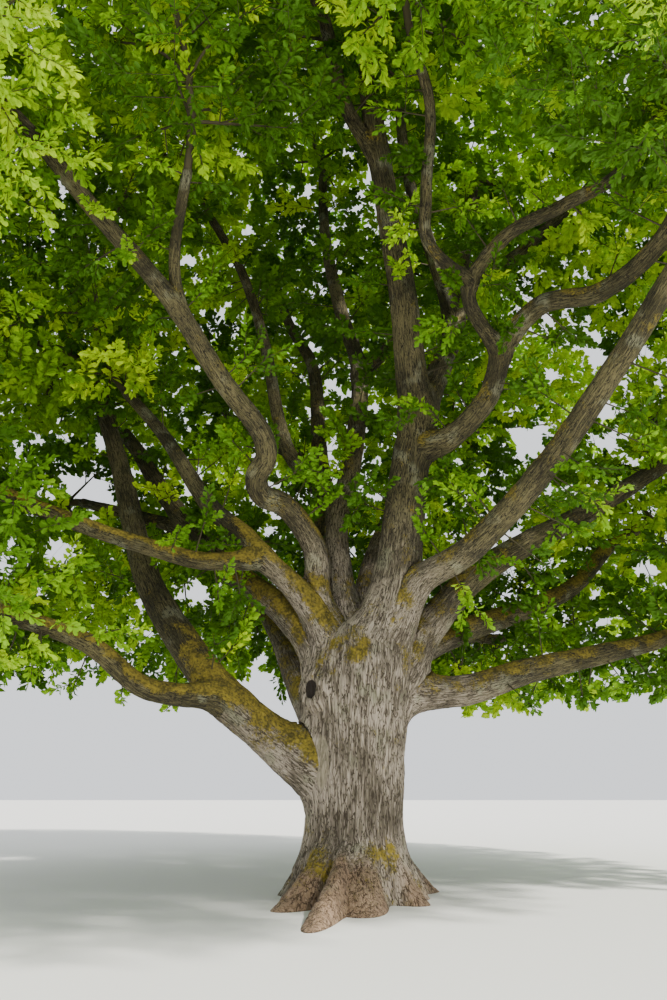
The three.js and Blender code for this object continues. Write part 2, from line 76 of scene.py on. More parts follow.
# Each limb: what it grows from, where on it, its radii at foot and tip, and its legs as length, heading and
# climb. Where is a height on the trunk, and a share of the length on another limb.
LIMBS = {
    "leader": ("trunk", 2.9, 0.47, 0.16, [(1.7, 336, 67), (2.25, 324, 79), (0.95, 329, 79), (0.9, 246, 75),
        (1.25, 253, 70), (2.1, 248, 61), (1.65, 250, 59)]),
    "bough_low_left": ("trunk", 1.55, 0.37, 0.14, [(1.1, 194, 26), (1.45, 190, 38), (1.25, 158, 48),
        (1.3, 143, 49), (0.95, 140, 60), (2.05, 138, 64), (1.85, 156, 66), (0.8, 170, 62)]),
    "bough_low_right": ("trunk", 2.6, 0.33, 0.11, [(0.8, 14, 27), (1.2, 9, 5), (1.15, 10, 17), (1.35, 9, 13),
        (1.4, 13, 14), (1.5, 12, 21)]),
    "bough_right": ("trunk", 2.65, 0.34, 0.16, [(1.05, 5, 42), (0.85, 23, 54), (1.4, 24, 46), (1.5, 19, 33),
        (1.35, 14, 28), (2.4, 11, 32)]),
    "bough_right_front": ("trunk", 3.1, 0.27, 0.13, [(1.15, 327, 47), (0.85, 332, 59), (1.0, 327, 25),
        (1.8, 313, 33), (1.9, 307, 39), (1.85, 304, 40), (1.5, 332, 42)]),
    "bough_left": ("trunk", 2.9, 0.28, 0.12, [(1.95, 172, 50), (1.3, 152, 37), (3.0, 141, 43), (1.6, 138, 49),
        (1.4, 141, 47), (2.2, 146, 54)]),
    "bough_left_front": ("trunk", 3.15, 0.25, 0.1, [(1.44, 191, 65), (0.93, 243, 77), (0.92, 224, 41),
        (0.43, 213, 13), (0.31, 246, 46), (0.4, 308, 44), (0.37, 256, 51), (1.11, 224, 39), (1.36, 231, 39),
        (1.65, 226, 31), (1.14, 221, 37), (1.01, 223, 24)]),
    "bough_left_middle": ("trunk", 3.0, 0.25, 0.1, [(1.44, 204, 58), (0.68, 192, 51), (0.6, 202, 39),
        (0.43, 172, 52), (0.83, 167, 41), (2.21, 151, 53), (1.34, 166, 49)]),
    "bough_centre": ("trunk", 3.3, 0.25, 0.11, [(2.1, 126, 77), (0.8, 107, 82), (0.85, 44, 70),
        (2.85, 68, 75), (1.75, 124, 70), (2.8, 119, 73), (2.4, 101, 78)]),
    "bough_back_high": ("trunk", 3.1, 0.26, 0.11, [(1.8, 117, 60), (2.65, 98, 63), (1.9, 98, 65),
        (2.65, 101, 68), (1.9, 132, 60), (1.9, 125, 66)]),
    "bough_back_left": ("trunk", 2.2, 0.28, 0.12, [(1.1, 154, 40), (1.65, 118, 46), (1.0, 122, 44),
        (3.9, 119, 35)]),
    "bough_back": ("trunk", 2.55, 0.29, 0.12, [(1.5, 80, 35), (2.4, 86, 31), (3.6, 78, 26)]),
    "bough_back_right": ("trunk", 2.75, 0.3, 0.13, [(2.05, 39, 34), (4.1, 30, 22), (1.65, 24, 41),
        (1.4, 24, 30)]),
    "bough_back_middle": ("trunk", 3.2, 0.25, 0.12, [(2.2, 70, 66), (2.6, 58, 54), (3.4, 60, 44)]),
    "limb_back_low": ("bough_back_right", 0.3, 0.14, 0.09, [(0.7, 72, 10), (0.9, 60, 4), (1.3, 52, 8)]),
    "limb_left_low": ("bough_low_left", 0.21, 0.2, 0.1, [(0.4, 212, 19), (0.65, 208, 1), (0.5, 204, 12),
        (1.0, 208, 34), (1.05, 218, 14), (0.7, 206, 14), (1.1, 207, 18)]),
    "limb_left_level": ("bough_left_middle", 0.36, 0.16, 0.1, [(0.56, 204, -13), (0.56, 202, -4),
        (0.88, 196, 12), (0.8, 204, 12), (1.55, 207, 15), (1.41, 198, 20)]),
    "limb_left_high": ("bough_centre", 0.23, 0.16, 0.09, [(0.75, 155, 48), (0.75, 167, 53), (0.75, 157, 69),
        (0.85, 149, 77), (1.5, 132, 74), (2.0, 161, 72), (1.6, 185, 62)]),
    "limb_left_back": ("bough_left", 0.36, 0.16, 0.1, [(1.4, 140, 30), (2.8, 152, 20)]),
    "limb_left_inner": ("bough_left_front", 0.64, 0.1, 0.075, [(0.8, 262, 62), (1.3, 290, 52)]),
    "limb_right_front": ("leader", 0.4, 0.21, 0.11, [(0.75, 327, 8), (0.9, 318, 33), (0.85, 294, 49),
        (0.85, 306, 26), (1.05, 316, -12), (1.25, 298, 11), (1.5, 276, 36)]),
    "leader_back": ("leader", 0.45, 0.26, 0.13, [(2.7, 50, 60), (1.55, 59, 68), (2.1, 58, 70),
        (1.9, 54, 67)]),
    "limb_right_arch": ("limb_right_front", 0.33, 0.13, 0.08, [(1.15, 226, 42), (1.0, 317, 43), (0.9, 325, 9),
        (1.2, 304, -6), (2.2, 322, 56)]),
    "limb_front_middle": ("limb_right_arch", 0.2, 0.11, 0.075, [(0.95, 213, 28), (0.75, 263, 58),
        (1.2, 271, 54), (0.9, 245, 34)]),
    "leader_top": ("leader_back", 0.4, 0.17, 0.1, [(1.5, 215, 70), (2.2, 200, 76), (2.3, 250, 80)]),
    "limb_right_high": ("leader_back", 0.5, 0.16, 0.1, [(1.3, 10, 40), (2.0, 355, 42), (1.2, 5, 50)]),
    "limb_centre_back": ("bough_centre", 0.48, 0.15, 0.1, [(1.6, 40, 50), (2.0, 66, 58), (1.6, 80, 60)]),
    "limb_front_high": ("leader", 0.88, 0.14, 0.09, [(1.0, 220, 40), (1.4, 250, 34), (1.3, 238, 26)]),
    "limb_back_left_high": ("bough_back_high", 0.42, 0.15, 0.1, [(1.5, 138, 36), (2.2, 132, 34),
        (1.4, 126, 44)]),
}
TAPER = 0.8
COLLAR_HEIGHT = 0.2
COLLAR_LENGTH = 1.6
SEAM = (0.31, 0.17, 0.93)
SAMPLE_STEP = 0.25
LINE_SAMPLES = 401
OUTLINE_SAMPLES = 90

# The crown's outer surface, and the masses of foliage in it: the limb that each grows on from, the middle of
# its space, and how far that reaches sideways.
CROWN_MIDDLE = np.array([0, 0.2, 10.4])
CROWN_WIDE, CROWN_DEEP, CROWN_ABOVE, CROWN_BELOW = 10.6, 10.3, 10.1, 7.8
CROWN_POWER_ABOVE, CROWN_POWER_BELOW = 2.2, 8
MASSES = {
    "low_left": ("limb_left_low", (-6.8, -2.6, 4.4), 3.24),
    "level_left": ("limb_left_level", (-8.0, -2.4, 7.4), 2.92),
    "back_left_low": ("limb_left_back", (-7.3, 3.0, 6.3), 3.35),
    "back_left": ("bough_back_left", (-4.6, 7.0, 6.5), 3.67),
    "back": ("bough_back", (0.4, 8.2, 6.4), 3.67),
    "back_low": ("limb_back_low", (4.3, 5.1, 4.8), 2.81),
    "back_right": ("bough_back_right", (7.5, 5.2, 7.6), 3.56),
    "low_right": ("bough_low_right", (7.7, 1.3, 4.6), 3.0),
    "right": ("bough_right", (8.3, -0.2, 8.8), 3.35),
    "right_front": ("bough_right_front", (7.2, -4.9, 9.8), 3.35),
    "left": ("bough_low_left", (-7.8, 1.0, 10.4), 3.46),
    "left_back_high": ("bough_left", (-6.6, 5.2, 12.0), 3.56),
    "left_front": ("bough_left_front", (-6.2, -6.0, 10.4), 3.56),
    "left_middle": ("bough_left_middle", (-4.9, -1.2, 10.4), 3.24),
    "left_inner": ("limb_left_inner", (-2.5, -5.6, 12.0), 3.13),
    "front": ("limb_right_front", (3.9, -7.9, 9.9), 3.24),
    "front_arch": ("limb_right_arch", (5.4, -4.4, 12.9), 3.35),
    "front_middle": ("limb_front_middle", (0.8, -7.0, 12.6), 3.24),
    "back_middle": ("bough_back_middle", (4.0, 7.0, 10.9), 3.67),
    "back_left_high": ("limb_back_left_high", (-3.6, 7.4, 12.0), 3.56),
    "front_high": ("limb_front_high", (-2.7, -5.2, 15.2), 3.35),
    "leader": ("leader", (0.7, -3.9, 15.0), 3.46),
    "left_high": ("limb_left_high", (-4.8, -0.6, 15.0), 3.56),
    "top": ("bough_centre", (-1.4, 2.0, 18.4), 3.56),
    "back_high": ("bough_back_high", (-3.0, 5.4, 16.2), 3.35),
    "top_right": ("leader_back", (3.8, 2.9, 16.7), 3.56),
    "top_front": ("leader_top", (1.6, -0.9, 18.4), 3.46),
    "right_high": ("limb_right_high", (7.0, 0.9, 13.2), 3.56),
    "centre_back": ("limb_centre_back", (1.8, 6.3, 14.5), 3.46),
}

# How a mass grows, as in the solids, and the finer twigs that carry it on. Others spring from a twig at these
# shares of its length.
FLATNESS = 0.82
CLEARANCE = 0.02
MAIN_TWIGS = 5
MAIN_TWIG_REACH = 0.74
STEM_JOINTS = np.array([0.31, 0.56, 0.81])
TWIG_JOINTS = np.array([0.25, 0.45, 0.65, 0.85])
CANDIDATES = 24
MOST_TRIES, FINE_TRIES = 4000, 240
DETOUR = 0.35
BEND = 0.38
STRAIGHTEN = 0.4
STEM_FOOT = 0.85
STEM_TIP = 0.045
STEM_REACH = 0.8
STEM_SUNK = 0.1
TWIG_FOOT = 0.5
TWIG_TIP = 0.014
JOINED = 0.3
FINE_TWIGS = 6.7  # a cubic metre
FINE_TWIG_REACH = 0.97
FINE_TWIG_FOOT = 0.6
FINE_TWIG_TIP = 0.0035
INNER_HOLLOW = 0.12
FAMILY_STEP = 1000
ROOM_SAMPLES = np.stack(np.meshgrid(*[np.linspace(-1, 1, 20)] * 3), -1).reshape(-1, 3)
RANDOM_SPREAD, RANDOM_FIRST, RANDOM_FACTOR, RANDOM_MODULUS = 7919, 12345, 48271, 2147483647

# Gaps that let the sky through for someone who stands at EYE: heading, climb and half the width in degrees.
# Each spray draws its own share of that width, so that the gaps have ragged edges.
EYE = np.array([-0.3, -13.0, 1.6])
SKY_GAPS = [
    (108.3, 19.8, 2.1), (110.1, 20.4, 1.2), (110.1, 15.2, 1.8), (113.1, 13.9, 1.6), (101.0, 21.0, 1.2),
    (97.0, 19.1, 0.8), (100.5, 13.0, 1.6), (99.4, 12.2, 0.9), (74.6, 23.2, 1.8), (73.1, 24.3, 1.2),
    (79.8, 20.3, 0.9), (69.1, 23.3, 1.6), (68.8, 24.9, 1.0), (76.8, 13.6, 1.3), (74.3, 14.6, 1.0),
    (67.4, 13.7, 1.1), (70.1, 10.7, 0.9), (105.1, 30.0, 0.7), (114.9, 35.8, 0.7), (67.5, 21.7, 0.9),
]
RAGGED = (0.6, 1.2)

# Leafy shoots along the limbs: how many to a metre, their length, and how far they lift or droop.
SHOOTS = {
    "limb_left_low": (3.6, 0.7, -0.7), "limb_left_level": (2.6, 0.6, -0.2),
    "bough_low_left": (2.0, 0.7, 0.1), "bough_low_right": (3.2, 0.75, -0.45),
    "bough_back_right": (3.4, 0.9, -0.5), "limb_back_low": (3.6, 0.8, -0.5),
    "bough_back": (3.2, 0.9, -0.6), "bough_back_left": (3.2, 0.9, -0.6),
    "limb_left_back": (3.2, 0.8, -0.4), "bough_right": (3.2, 0.8, 0.2),
    "bough_right_front": (3.2, 0.75, 0.2), "limb_right_front": (3.0, 0.75, 0.2),
    "bough_back_middle": (4.2, 1.0, 0.1), "bough_centre": (3.0, 0.75, 0.2),
    "bough_back_high": (3.4, 0.9, 0.1), "leader_back": (3.4, 0.9, 0.1),
    "limb_right_high": (3.4, 0.9, 0.1), "bough_left": (2.8, 0.8, 0.1),
    "bough_left_middle": (2.8, 0.75, 0.2),
}
USUAL_SHOOTS = (2.4, 0.65, 0.25)
# What stays bare at the foot of a bough and of a limb on a bough, in metres.
BARE_FOOT, BARE_LIMB_FOOT = 2.4, 0.3
# A shoot starts at a share of the limb's radius, and must be clear of limbs beyond a share of its own length.
# Its lengths are against that of the table. Then its thickness at foot and tip.
SHOOT_FROM, SHOOT_JOINED = 0.8, 0.45
SHOOT_LENGTHS = (0.7, 1.5)
SHOOT_FOOT, SHOOT_TIP = 0.016, 0.007
# Side shoots: how many, one fewer than the second number at most, where on the shoot, their lengths in the
# same way, how far they turn away from it, and their share of its lift.
SIDE_SHOOTS, SIDE_SHOOT_FEET, SIDE_LENGTHS = (2, 5), (0.3, 0.95), (0.4, 0.9)
SHOOT_SPREAD, SIDE_LIFT = 0.6, 0.4
SHOOT_SEED = 3

# A spray's leaves go round its twig by LEAF_TURN and lean from it, more towards its foot. The spreads are
# those of random draws.
SPRAY_LEAVES = 27
SPRAY_LENGTH = 0.42
LEAF_TURN = 2.39996
LEAF_LEANS, LEAN_SPREAD = (18, 82), 0.15
WAY_SPREAD = 0.22
LEVEL, HANG = 0.75, 0.12
LEAF_STALK = 0.02
LEAF_LENGTH, LENGTHS = 0.167, (0.78, 1.15)
LEAF_CLEAR_OF_LIMBS = 0.05
# Leaves face outwards, upwards and along the spray's own round in these parts.
FACE_OUT, FACE_UP, FACE_ROUND, FACE_SPREAD = 0.75, 0.6, 0.2, 0.4
# Leaves are smaller and twigs closer together where the crown comes near to EYE than they are this far away.
FULL_SIZE_FROM = 14
LEAF_POWER, TWIG_POWER = 1.4, -1.9
NEAR_LEAF, FAR_LEAF = 0.5, 1.08
SHOOT_LEAF = 0.82
FEW_TWIGS, MANY_TWIGS = 0.85, 2.2
LOBED_WITHIN, BLUNT_WITHIN = 10, 12

# The bark meshes: how far apart their points lie on a limb, how deep the relief is and how wide a ridge.
BARK_SPACING = 0.038
TRUNK_SIDES = 360
TRUNK_RINGS = 225
RELIEF = 0.02
RIDGE = 0.05


def direction(heading, climb):
    heading, climb = math.radians(heading), math.radians(climb)
    return np.array([
        math.cos(climb) * math.cos(heading), math.cos(climb) * math.sin(heading), math.sin(climb)
    ])


def unit(vectors):
    return vectors / np.maximum(np.linalg.norm(vectors, axis=-1, keepdims=True), 1e-9)


def lerp(start, end, share):
    return start + (end - start) * share


def smooth(values, low, high):
    """0 below low, 1 above high, and an even slope between."""
    share = np.clip((values - low) / (high - low), 0, 1)
    return share * share * (3 - 2 * share)


class Line:
    """The smooth line through some points, with its length measured along it."""

    def __init__(self, points):
        ends = [2 * points[0] - points[1], *points, 2 * points[-1] - points[-2]]
        self.spans = np.array([self.span(*ends[i : i + 4]) for i in range(len(points) - 1)])
        self.shares = np.linspace(0, 1, LINE_SAMPLES)
        steps = np.linalg.norm(np.diff(self.at(self.shares), axis=0), axis=1)
        self.lengths = np.concatenate([[0], np.cumsum(steps)])
        self.length = self.lengths[-1]

    @staticmethod
    def span(before, start, end, after):
        """The cubic from start to end, with the square roots of the distances as its knots, so that it never
        loops."""
        pairs = (before, start), (start, end), (end, after)
        to, over, on = (np.linalg.norm(b - a) ** 0.5 for a, b in pairs)
        leave = ((start - before) / to - (end - before) / (to + over) + (end - start) / over) * over
        arrive = ((end - start) / over - (after - start) / (over + on) + (after - end) / on) * over
        return [start, leave, 3 * (end - start) - 2 * leave - arrive, 2 * (start - end) + leave + arrive]

    def at(self, shares):
        whole = np.atleast_1d(shares) * len(self.spans)
        index = np.minimum(whole.astype(int), len(self.spans) - 1)
        part = (whole - index)[:, None]
        a, b, c, d = np.moveaxis(self.spans[index], 1, 0)
        return a + part * (b + part * (c + part * d))

    def along(self, shares):
        """Places at shares of the length."""
        return self.at(np.interp(np.atleast_1d(shares) * self.length, self.lengths, self.shares))


class Limb:
    def __init__(self, name, start, inset, foot, tip, legs):
        points = [start]
        for length, heading, climb in legs:
            points.append(points[-1] + length * direction(heading, climb))
        self.name, self.foot, self.tip, self.inset = name, foot, tip, inset
        self.line = Line(points)
        self.length = self.line.length
        self.shares = np.linspace(0, 1, math.ceil(self.length / SAMPLE_STEP * 2) + 1)
        self.places = self.line.along(self.shares)
        self.radii = self.radius(self.shares)

    def radius(self, shares):
        shares = np.asarray(shares, dtype=float)
        collar = np.exp(-(((shares * self.length - self.inset) / (COLLAR_LENGTH * self.foot)) ** 2))
        return lerp(self.foot, self.tip, shares**TAPER) + COLLAR_HEIGHT * self.foot * collar

    def distance(self, points):
        """How far each point is outside the limb, and the way straight out from it."""
        starts, spans = self.places[:-1], np.diff(self.places, axis=0)
        away = points[:, None] - starts[None]
        part = np.clip((away * spans).sum(2) / (spans**2).sum(1), 0, 1)
        away -= part[..., None] * spans
        far = np.linalg.norm(away, axis=2) - lerp(self.radii[:-1], self.radii[1:], part)
        nearest = far.argmin(1)
        rows = np.arange(len(points))
        return far[rows, nearest], unit(away[rows, nearest])


def lay_out_limbs():
    limbs = {}
    for name, (parent, at, foot, tip, legs) in LIMBS.items():
        if parent == "trunk":
            start, inset = np.array([*(TRUNK_LEAN * at), at]), TRUNK_AT_FORK
        else:
            start, inset = limbs[parent].line.along(at)[0], float(limbs[parent].radius(at))
        limbs[name] = Limb(name, start, inset, foot, tip, legs)
    return limbs


# The trunk


def root_reach(headings):
    reach = np.zeros_like(headings)
    for heading, end, half in ROOTS:
        away = (headings - heading + 180) % 360 - 180
        bulge = np.exp(-(np.abs(away / half) ** ROOT_BLUNTNESS))
        reach = np.maximum(reach, (end - TRUNK_PROFILE[0][1]) * bulge)
    return reach


def flare(headings, heights):
    return root_reach(headings) * np.maximum(0, 1 - heights / FLARE_HEIGHT) ** FLARE_FALL


def trunk_line():
    return Line([np.array([radius, 0, height]) for height, radius in TRUNK_PROFILE])


def trunk_distance(points):
    """The same as a limb's distance, for places above the root flare."""
    outline = trunk_line().at(np.linspace(0, 1, OUTLINE_SAMPLES))[:, [0, 2]]
    from_middle = points[:, :2] - points[:, 2:] * TRUNK_LEAN
    out = np.linalg.norm(from_middle, axis=1)
    flat = np.stack([out, points[:, 2]], 1)
    spans = np.diff(outline, axis=0)
    away = flat[:, None] - outline[None, :-1]
    part = np.clip((away * spans).sum(2) / (spans**2).sum(1), 0, 1)
    away -= part[..., None] * spans
    far = np.linalg.norm(away, axis=2)
    nearest = far.argmin(1)
    rows = np.arange(len(points))
    inside = out < np.interp(points[:, 2], outline[:, 1], outline[:, 0])
    inside &= points[:, 2] < outline[-1, 1]
    sign = np.where(inside, -1.0, 1.0)
    lean_out = unit(away[rows, nearest]) * sign[:, None]
    round_out = from_middle / np.maximum(out, 1e-6)[:, None]
    ways = np.column_stack([round_out * lean_out[:, :1], lean_out[:, 1]])
    return far[rows, nearest] * sign, ways


# Bark meshes


# How softly a limb's skin joins the trunk's and another limb's, as shares of its thickness at the foot. The
# skin bends out within BEND_REACH of that softness, and dives back by DIVE where the other is the thicker.
TRUNK_JOIN, LIMB_JOIN = 0.4, 0.35
BEND_REACH = 3.0
BURIED = -2.5
DIVE = 0.6
HALVINGS = 14


def grid_faces(rings, sides):
    """Quads round a tube of rings, and a fan at each end to the two points that follow the rings' own."""
    ring, side = np.meshgrid(np.arange(rings - 1), np.arange(sides), indexing="ij")
    here, beside = ring * sides + side, ring * sides + (side + 1) % sides
    quads = np.stack([here, beside, beside + sides, here + sides], -1).reshape(-1, 4)
    around = np.arange(sides)
    last = (rings - 1) * sides
    foot = np.stack([np.full(sides, rings * sides), (around + 1) % sides, around], 1)
    tip = np.stack([np.full(sides, rings * sides + 1), last + around, last + (around + 1) % sides], 1)
    return quads.tolist() + foot.tolist() + tip.tolist()


def bend_together(points, ways, neighbours):
    """Moves points out along their ways to a skin that runs smoothly on to each neighbour's, and back under
    it where the neighbour is the thicker. A neighbour is its distance function, how softly it joins, and a
    box round it."""
    most = np.zeros(len(points))
    for distance, soft, (low, high) in neighbours:
        near = ((points > low - BEND_REACH * soft) & (points < high + BEND_REACH * soft)).all(1)
        if not near.any():
            continue
        far, out = distance(points[near])
        facing = (out * ways[near]).sum(1)
        low_push, high_push = np.zeros(len(far)), np.full(len(far), BEND_REACH * soft)
        for _ in range(HALVINGS):
            push = (low_push + high_push) / 2
            inside = np.exp(-push / soft) + np.exp(-np.clip((far + facing * push) / soft, -30, 30)) > 1
            low_push, high_push = np.where(inside, push, low_push), np.where(inside, high_push, push)
        even = math.log(2) * soft
        push = np.where(high_push <= even, high_push, even - DIVE * (high_push - even))
        push = np.where(far < BURIED * soft, 0, np.maximum(push, 0))
        most[near] = np.maximum(most[near], push)
    return points + ways * most[:, None]


def point_values(mesh, name, kind, values):
    key = "vector" if kind == "FLOAT_VECTOR" else "value"
    layer = mesh.attributes.new(name, kind, "POINT")
    layer.data.foreach_set(key, np.asarray(values, dtype=np.int32 if kind == "INT" else np.float32).ravel())


def bark_mesh(name, points, faces, places, relief, moss, painted_crown_shade):
    """A mesh that carries where each point lies on the bark, how deep its relief is, how mossy it may be and
    how far its bark is darkened by painted shade of the crown."""
    mesh = bpy.data.meshes.new(name)
    mesh.from_pydata(points.tolist(), [], faces)
    point_values(mesh, "bark_place", "FLOAT_VECTOR", places)
    for value, values in (("relief", relief), ("moss", moss), ("painted_crown_shade", painted_crown_shade)):
        point_values(mesh, value, "FLOAT", values)
    return mesh


def box_of(limb):
    room = limb.radii.max()
    return limb.places.min(0) - room, limb.places.max(0) + room


# How mossy the upper side of each limb is, and how far out from its foot.
MOSS = {
    "limb_left_level": (1.15, 1.0), "limb_left_low": (1.05, 1.0), "bough_low_left": (1.15, 0.36),
    "bough_left": (1.05, 0.35), "bough_left_middle": (1.05, 0.5), "bough_left_front": (0.85, 0.3),
    "bough_low_right": (0.7, 1.0), "bough_right": (0.6, 0.6), "bough_back_right": (0.9, 1.0),
    "bough_right_front": (0.55, 0.6), "bough_centre": (0.3, 0.4), "bough_back_left": (0.6, 1.0),
    "limb_right_front": (0.5, 1.0), "leader": (0.15, 0.3), "limb_back_low": (0.6, 1.0),
}
LITTLE_MOSS = (0.2, 0.6)
# Moss fades in between these slopes of the bark, on a line that sways by MOSS_SWAY, by MOSS_SWAYS radians to
# a metre, and out between these shares of its reach.
MOSSY_SLOPES = (-0.7, 0.5)
MOSS_SWAY, MOSS_SWAYS = 0.12, 5
MOSS_ENDS = (0.75, 1.15)
# Between these distances along a bough its bark darkens with painted shade of the crown. All of it has that
# painted shade on the limbs that grow on boughs.
CROWN_SHADE_SPAN, DARK = (0.9, 3.6), (-1, 0)
# A box round the trunk above its roots.
FORK_BOX = (np.array([-1.3, -1.3, 0.804]), np.array([1.3, 1.3, 4.02]))

# Patches of moss round the fork and on the roots: heading, height, reach and strength.
MOSS_SPOTS = [
    (264, 3.65, 0.5, 0.8), (331, 3.5, 0.42, 0.85), (236, 3.3, 0.35, 0.5), (236, 0.3, 0.6, 0.75),
    (262, 0.45, 0.4, 0.5), (296, 0.55, 0.45, 0.55), (330, 0.2, 0.4, 0.5), (120, 0.5, 0.8, 0.6),
    (60, 0.4, 0.8, 0.6), (90, 2.6, 0.9, 0.4),
]


def on_trunk(heading, height):
    radius = np.interp(height, *np.array(TRUNK_PROFILE).T)
    place = radius * direction(heading, 0)
    place[:2] += TRUNK_LEAN * height
    place[2] = height
    return place


def moss_spots(points):
    moss = np.zeros(len(points))
    for heading, height, size, strength in MOSS_SPOTS:
        far = np.linalg.norm(points - on_trunk(heading, height), axis=1)
        moss = np.maximum(moss, strength * (1 - smooth(far, size * 0.3, size)))
    return moss


def limb_mesh(limb, limbs):
    sides = max(12, round(2 * math.pi * limb.foot / BARK_SPACING))
    rings = math.ceil(limb.length / BARK_SPACING) + 1
    shares = np.linspace(0, 1, rings)
    middles = limb.line.along(shares)
    tangents = unit(np.gradient(middles, axis=0))
    across = np.array(SEAM)
    spokes = []
    turns = np.linspace(0, 2 * math.pi, sides, endpoint=False)
    for tangent in tangents:
        across = unit(across - tangent * (across @ tangent))
        beside = np.cross(tangent, across)
        spokes.append(np.cos(turns)[:, None] * across + np.sin(turns)[:, None] * beside)
    spokes = np.array(spokes)
    radii = limb.radius(shares)
    rounded = np.sqrt(np.clip(1 - ((shares - 1) * limb.length / limb.tip + 1).clip(0, 1) ** 2, 0, 1))
    points = (middles[:, None] + spokes * (radii * rounded)[:, None, None]).reshape(-1, 3)
    ways = spokes.reshape(-1, 3)

    parent = LIMBS[limb.name][0]
    neighbours = []
    if parent == "trunk":
        neighbours.append((trunk_distance, TRUNK_JOIN * limb.foot, FORK_BOX))
    for other in limbs.values():
        kin = other.name == parent or LIMBS[other.name][0] in (limb.name, parent)
        if other is not limb and kin:
            neighbours.append((other.distance, LIMB_JOIN * min(limb.foot, other.foot), box_of(other)))
    points = bend_together(points, ways, neighbours)

    points = np.vstack([points, middles[:1], middles[-1:]])
    scale = RIDGE * (0.5 + 0.5 * limb.foot / TRUNK_AT_FORK)
    girth = lerp(limb.foot, limb.tip, 0.3)
    places = np.stack([
        girth * np.tile(np.cos(turns), rings), girth * np.tile(np.sin(turns), rings),
        np.repeat(shares * limb.length, sides),
    ], 1)
    places = np.vstack([places, [0, 0, 0], [0, 0, limb.length]]) / scale
    relief = RELIEF * (np.repeat(radii, sides) / TRUNK_AT_FORK) ** 0.7
    most, reach = MOSS.get(limb.name, LITTLE_MOSS)
    upward = smooth(ways[:, 2] + MOSS_SWAY * np.sin(MOSS_SWAYS * places[:-2, 2] * scale), *MOSSY_SLOPES)
    moss = most * upward * (1 - smooth(np.repeat(shares, sides), reach * MOSS_ENDS[0], reach * MOSS_ENDS[1]))
    moss = np.maximum(moss, moss_spots(points[:-2]))
    # Painted shade of the crown: darker bark from a bough's foot outwards, and all along the limbs on boughs.
    painted_crown_shade = smooth(np.repeat(shares * limb.length, sides), *(CROWN_SHADE_SPAN if parent == "trunk" else DARK))
    return bark_mesh(
        limb.name, points, grid_faces(rings, sides), places, [*relief, 0, 0], [*moss, 0, 0], [*painted_crown_shade, 0, 1]
    )


# The scar of a sawn bough and a patch of bare wood: heading, height, half the width and half the height. The
# scar's rim stands out by SCAR_RIM, rises between the first shares of that width and falls between the last.
SCAR = (219, 2.98, 0.19, 0.2)
BARE_PATCH = (231, 1.9, 0.17, 0.5)
SCAR_RIM, RIM_RISES, RIM_FALLS = 0.09, (0.4, 0.95), (1.1, 1.9)
# Bark widens and runs on over the roots by these shares of how far they reach out.
ROOT_WIDENS, ROOT_RUNS_ON = 0.6, 0.9
# Where the roots' own tone is full, how high the relief fades in, and from where up boughs bend the skin.
ROOT_TONE_REACH = 0.35
RELIEF_FROM = 0.12
BOUGHS_FROM = 0.6


def mark_share(points, mark):
    """0 in the middle of a mark on the trunk and 1 at its edge."""
    heading, height, half_width, half_height = mark
    away = points - on_trunk(heading, height)
    return np.linalg.norm(away / (half_width, half_width, half_height), axis=1)


def trunk_mesh(limbs):
    line = trunk_line()
    share = np.linspace(0, 1, TRUNK_RINGS)
    outline = line.along(share)
    headings = np.linspace(0, 360, TRUNK_SIDES, endpoint=False)
    heights, radii = outline[:, 2], outline[:, 0]
    heights[0] = 0
    reach = radii[:, None] + flare(headings[None], heights[:, None])
    reach[-1] = 0.02
    turn = np.radians(headings)
    points = np.stack([
        reach * np.cos(turn) + TRUNK_LEAN[0] * heights[:, None],
        reach * np.sin(turn) + TRUNK_LEAN[1] * heights[:, None],
        np.broadcast_to(heights[:, None], reach.shape),
    ], -1)
    down = np.gradient(points, axis=0)
    beside = np.roll(points, -1, 1) - np.roll(points, 1, 1)
    ways = unit(np.cross(beside, down)).reshape(-1, 3)
    rooted = flare(headings[None], heights[:, None])
    girth = TRUNK_AT_FORK + ROOT_WIDENS * rooted
    places = np.stack([
        girth * np.cos(turn), girth * np.sin(turn), heights[:, None] - ROOT_RUNS_ON * rooted
    ], -1).reshape(-1, 3)
    points = points.reshape(-1, 3)
    boughs = [limb for limb in limbs.values() if LIMBS[limb.name][0] == "trunk"]
    neighbours = [(bough.distance, TRUNK_JOIN * bough.foot, box_of(bough)) for bough in boughs]
    above = points[:, 2] > BOUGHS_FROM
    points[above] = bend_together(points[above], ways[above], neighbours)

    scar = mark_share(points, SCAR)
    points += ways * (SCAR_RIM * (smooth(scar, *RIM_RISES) - smooth(scar, *RIM_FALLS)))[:, None]

    moss = moss_spots(points)
    relief = RELIEF * np.clip(points[:, 2] / RELIEF_FROM, 0, 1)
    points = np.vstack([points, [0, 0, 0], [*(TRUNK_LEAN * heights[-1]), heights[-1]]])
    places = np.vstack([places, [0, 0, 0], [0, 0, heights[-1]]]) / RIDGE
    faces = grid_faces(TRUNK_RINGS, TRUNK_SIDES)
    painted_crown_shade = np.zeros(len(points))
    mesh = bark_mesh("trunk", points, faces, places, [*relief, 0, 0], [*moss, 0, 0], painted_crown_shade)
    for name, mark in (("scar", SCAR), ("bare", BARE_PATCH)):
        point_values(mesh, name, "FLOAT", 1 - smooth(mark_share(points, mark), 0.6, 1))
    point_values(mesh, "root", "FLOAT", [*np.clip(rooted / ROOT_TONE_REACH, 0, 1).ravel(), 1, 0])
    return mesh


# Node trees


